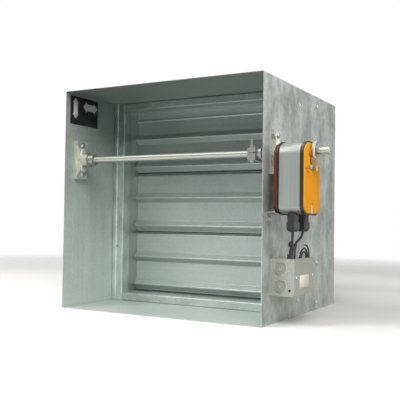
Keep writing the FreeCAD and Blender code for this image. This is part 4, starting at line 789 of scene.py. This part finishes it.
# Pale floor, white surroundings and soft light
def white_for_views(tree, plain, white, output):
    """Camera, mirror and glass rays see white, and other rays see plain"""
    path = tree.nodes.new("ShaderNodeLightPath")
    seen = path.outputs["Is Camera Ray"]
    for kind in ("Is Glossy Ray", "Is Transmission Ray"):
        either = tree.nodes.new("ShaderNodeMath")
        either.operation = "MAXIMUM"
        tree.links.new(seen, either.inputs[0])
        tree.links.new(path.outputs[kind], either.inputs[1])
        seen = either.outputs["Value"]
    mix = tree.nodes.new("ShaderNodeMixShader")
    tree.links.new(seen, mix.inputs[0])
    tree.links.new(plain, mix.inputs[1])
    tree.links.new(white, mix.inputs[2])
    tree.links.new(mix.outputs[0], output)


def surroundings(level):
    """White for the camera and a faint even light for the rest"""
    world = bpy.data.worlds.new("surroundings")
    scene.world = world
    world.use_nodes = True
    tree = world.node_tree
    plain = tree.nodes["Background"]
    plain.inputs["Color"].default_value = (0.93, 1.0, 0.97, 1)
    plain.inputs["Strength"].default_value = level
    white = tree.nodes.new("ShaderNodeBackground")
    white.inputs["Color"].default_value = (1, 1, 1, 1)
    white.inputs["Strength"].default_value = 1.0
    output = tree.nodes["World Output"].inputs["Surface"]
    white_for_views(tree, plain.outputs[0], white.outputs[0], output)


def paper(name, tone):
    """A dull material of one tone"""
    material = bpy.data.materials.new(name)
    material.use_nodes = True
    shader = material.node_tree.nodes["Principled BSDF"]
    shader.inputs["Base Color"].default_value = (*tone, 1)
    shader.inputs["Roughness"].default_value = 0.9
    shader.inputs["Specular IOR Level"].default_value = 0.1
    return material


def floor():
    """A round of pale paper that fades out at its rim and throws little light back up"""
    mesh = bmesh.new()
    bmesh.ops.create_circle(mesh, cap_ends=True, segments=64, radius=2.4)
    data = bpy.data.meshes.new("floor")
    mesh.to_mesh(data)
    mesh.free()
    material = paper("floor_paper", (0.70, 0.70, 0.70))
    tree = material.node_tree
    dim = tree.nodes.new("ShaderNodeBsdfDiffuse")
    dim.inputs["Color"].default_value = (0.12, 0.12, 0.12, 1)
    clear = tree.nodes.new("ShaderNodeBsdfTransparent")
    place = tree.nodes.new("ShaderNodeTexCoord")
    reach = tree.nodes.new("ShaderNodeVectorMath")
    reach.operation = "LENGTH"
    fade = tree.nodes.new("ShaderNodeMapRange")
    fade.inputs["From Min"].default_value = 1.2
    fade.inputs["From Max"].default_value = 2.2
    mix = tree.nodes.new("ShaderNodeMixShader")
    tree.links.new(place.outputs["Object"], reach.inputs[0])
    tree.links.new(reach.outputs["Value"], fade.inputs["Value"])
    tree.links.new(fade.outputs["Result"], mix.inputs[0])
    pale = tree.nodes["Principled BSDF"].outputs[0]
    white_for_views(tree, dim.outputs[0], pale, mix.inputs[1])
    tree.links.new(clear.outputs[0], mix.inputs[2])
    tree.links.new(mix.outputs[0], tree.nodes["Material Output"].inputs["Surface"])
    data.materials.append(material)
    piece = bpy.data.objects.new("floor", data)
    scene.collection.objects.link(piece)


def aim(piece, at, target):
    """A lamp or card placed in metres, with its face towards a target"""
    scene.collection.objects.link(piece)
    piece.location = at
    piece.rotation_euler = (Vector(target) - Vector(at)).to_track_quat("-Z", "Y").to_euler()


def lamp(name, at, target, size, power, colour, mirrored=True):
    """A soft lamp, which the metal reflects or not"""
    data = bpy.data.lights.new(name, "AREA")
    data.shape = "RECTANGLE"
    data.size, data.size_y = size
    data.energy = power
    data.color = colour
    light = bpy.data.objects.new(name, data)
    light.visible_glossy = mirrored
    aim(light, at, target)


def lamp_pair(name, at, target, size, powers, colour):
    """Two lamps in one place, of which the metal reflects the second alone"""
    lamp(name, at, target, size, powers[0], colour, mirrored=False)
    lamp(name + "_shine", at, target, size, powers[1], colour)


def card(name, at, target, size, tone):
    """A flat card outside the picture, which the metal reflects"""
    data = bpy.data.meshes.new(name)
    half_x, half_y = size[0] / 2, size[1] / 2
    corners = [(-half_x, -half_y, 0), (half_x, -half_y, 0), (half_x, half_y, 0), (-half_x, half_y, 0)]
    data.from_pydata(corners, [], [(0, 1, 2, 3)])
    data.materials.append(paper(name, tone))
    piece = bpy.data.objects.new(name, data)
    aim(piece, at, target)
    piece.visible_camera = False


DARK = (0.04, 0.045, 0.043)
LOW_MIDDLE = (0.0, 0.0, 0.25)
surroundings(0.03)
floor()
card("front_card", (-0.6, -3.6, 1.7), (-0.6, 0.0, 1.7), (7.0, 3.0), DARK)
card("top_card", (-0.6, -2.1, 3.2), (-0.6, -2.1, 0.0), (7.0, 3.0), DARK)
card("side_card", (0.8, 3.9, 0.9), (0.0, 0.0, 0.3), (2.0, 2.2), (0.12, 0.13, 0.125))
lamp_pair("key", (0.9, -1.5, 1.9), LOW_MIDDLE, (2.0, 1.6), (29.0, 45.0), (1.0, 0.98, 0.94))
lamp_pair("left", (-1.0, -1.6, 2.0), LOW_MIDDLE, (1.0, 0.6), (20.0, 30.0), (1.0, 0.99, 0.96))
lamp("above", (-0.9, -0.2, 2.1), (0.25, -0.1, 0.3), (1.0, 1.2), 30.0, (1.0, 0.98, 0.92))
lamp("side", (2.2, -0.2, 0.8), (0.2, 0.0, 0.25), (1.2, 1.2), 15.0, (1.0, 0.98, 0.94))

scene.view_settings.view_transform = "Standard"
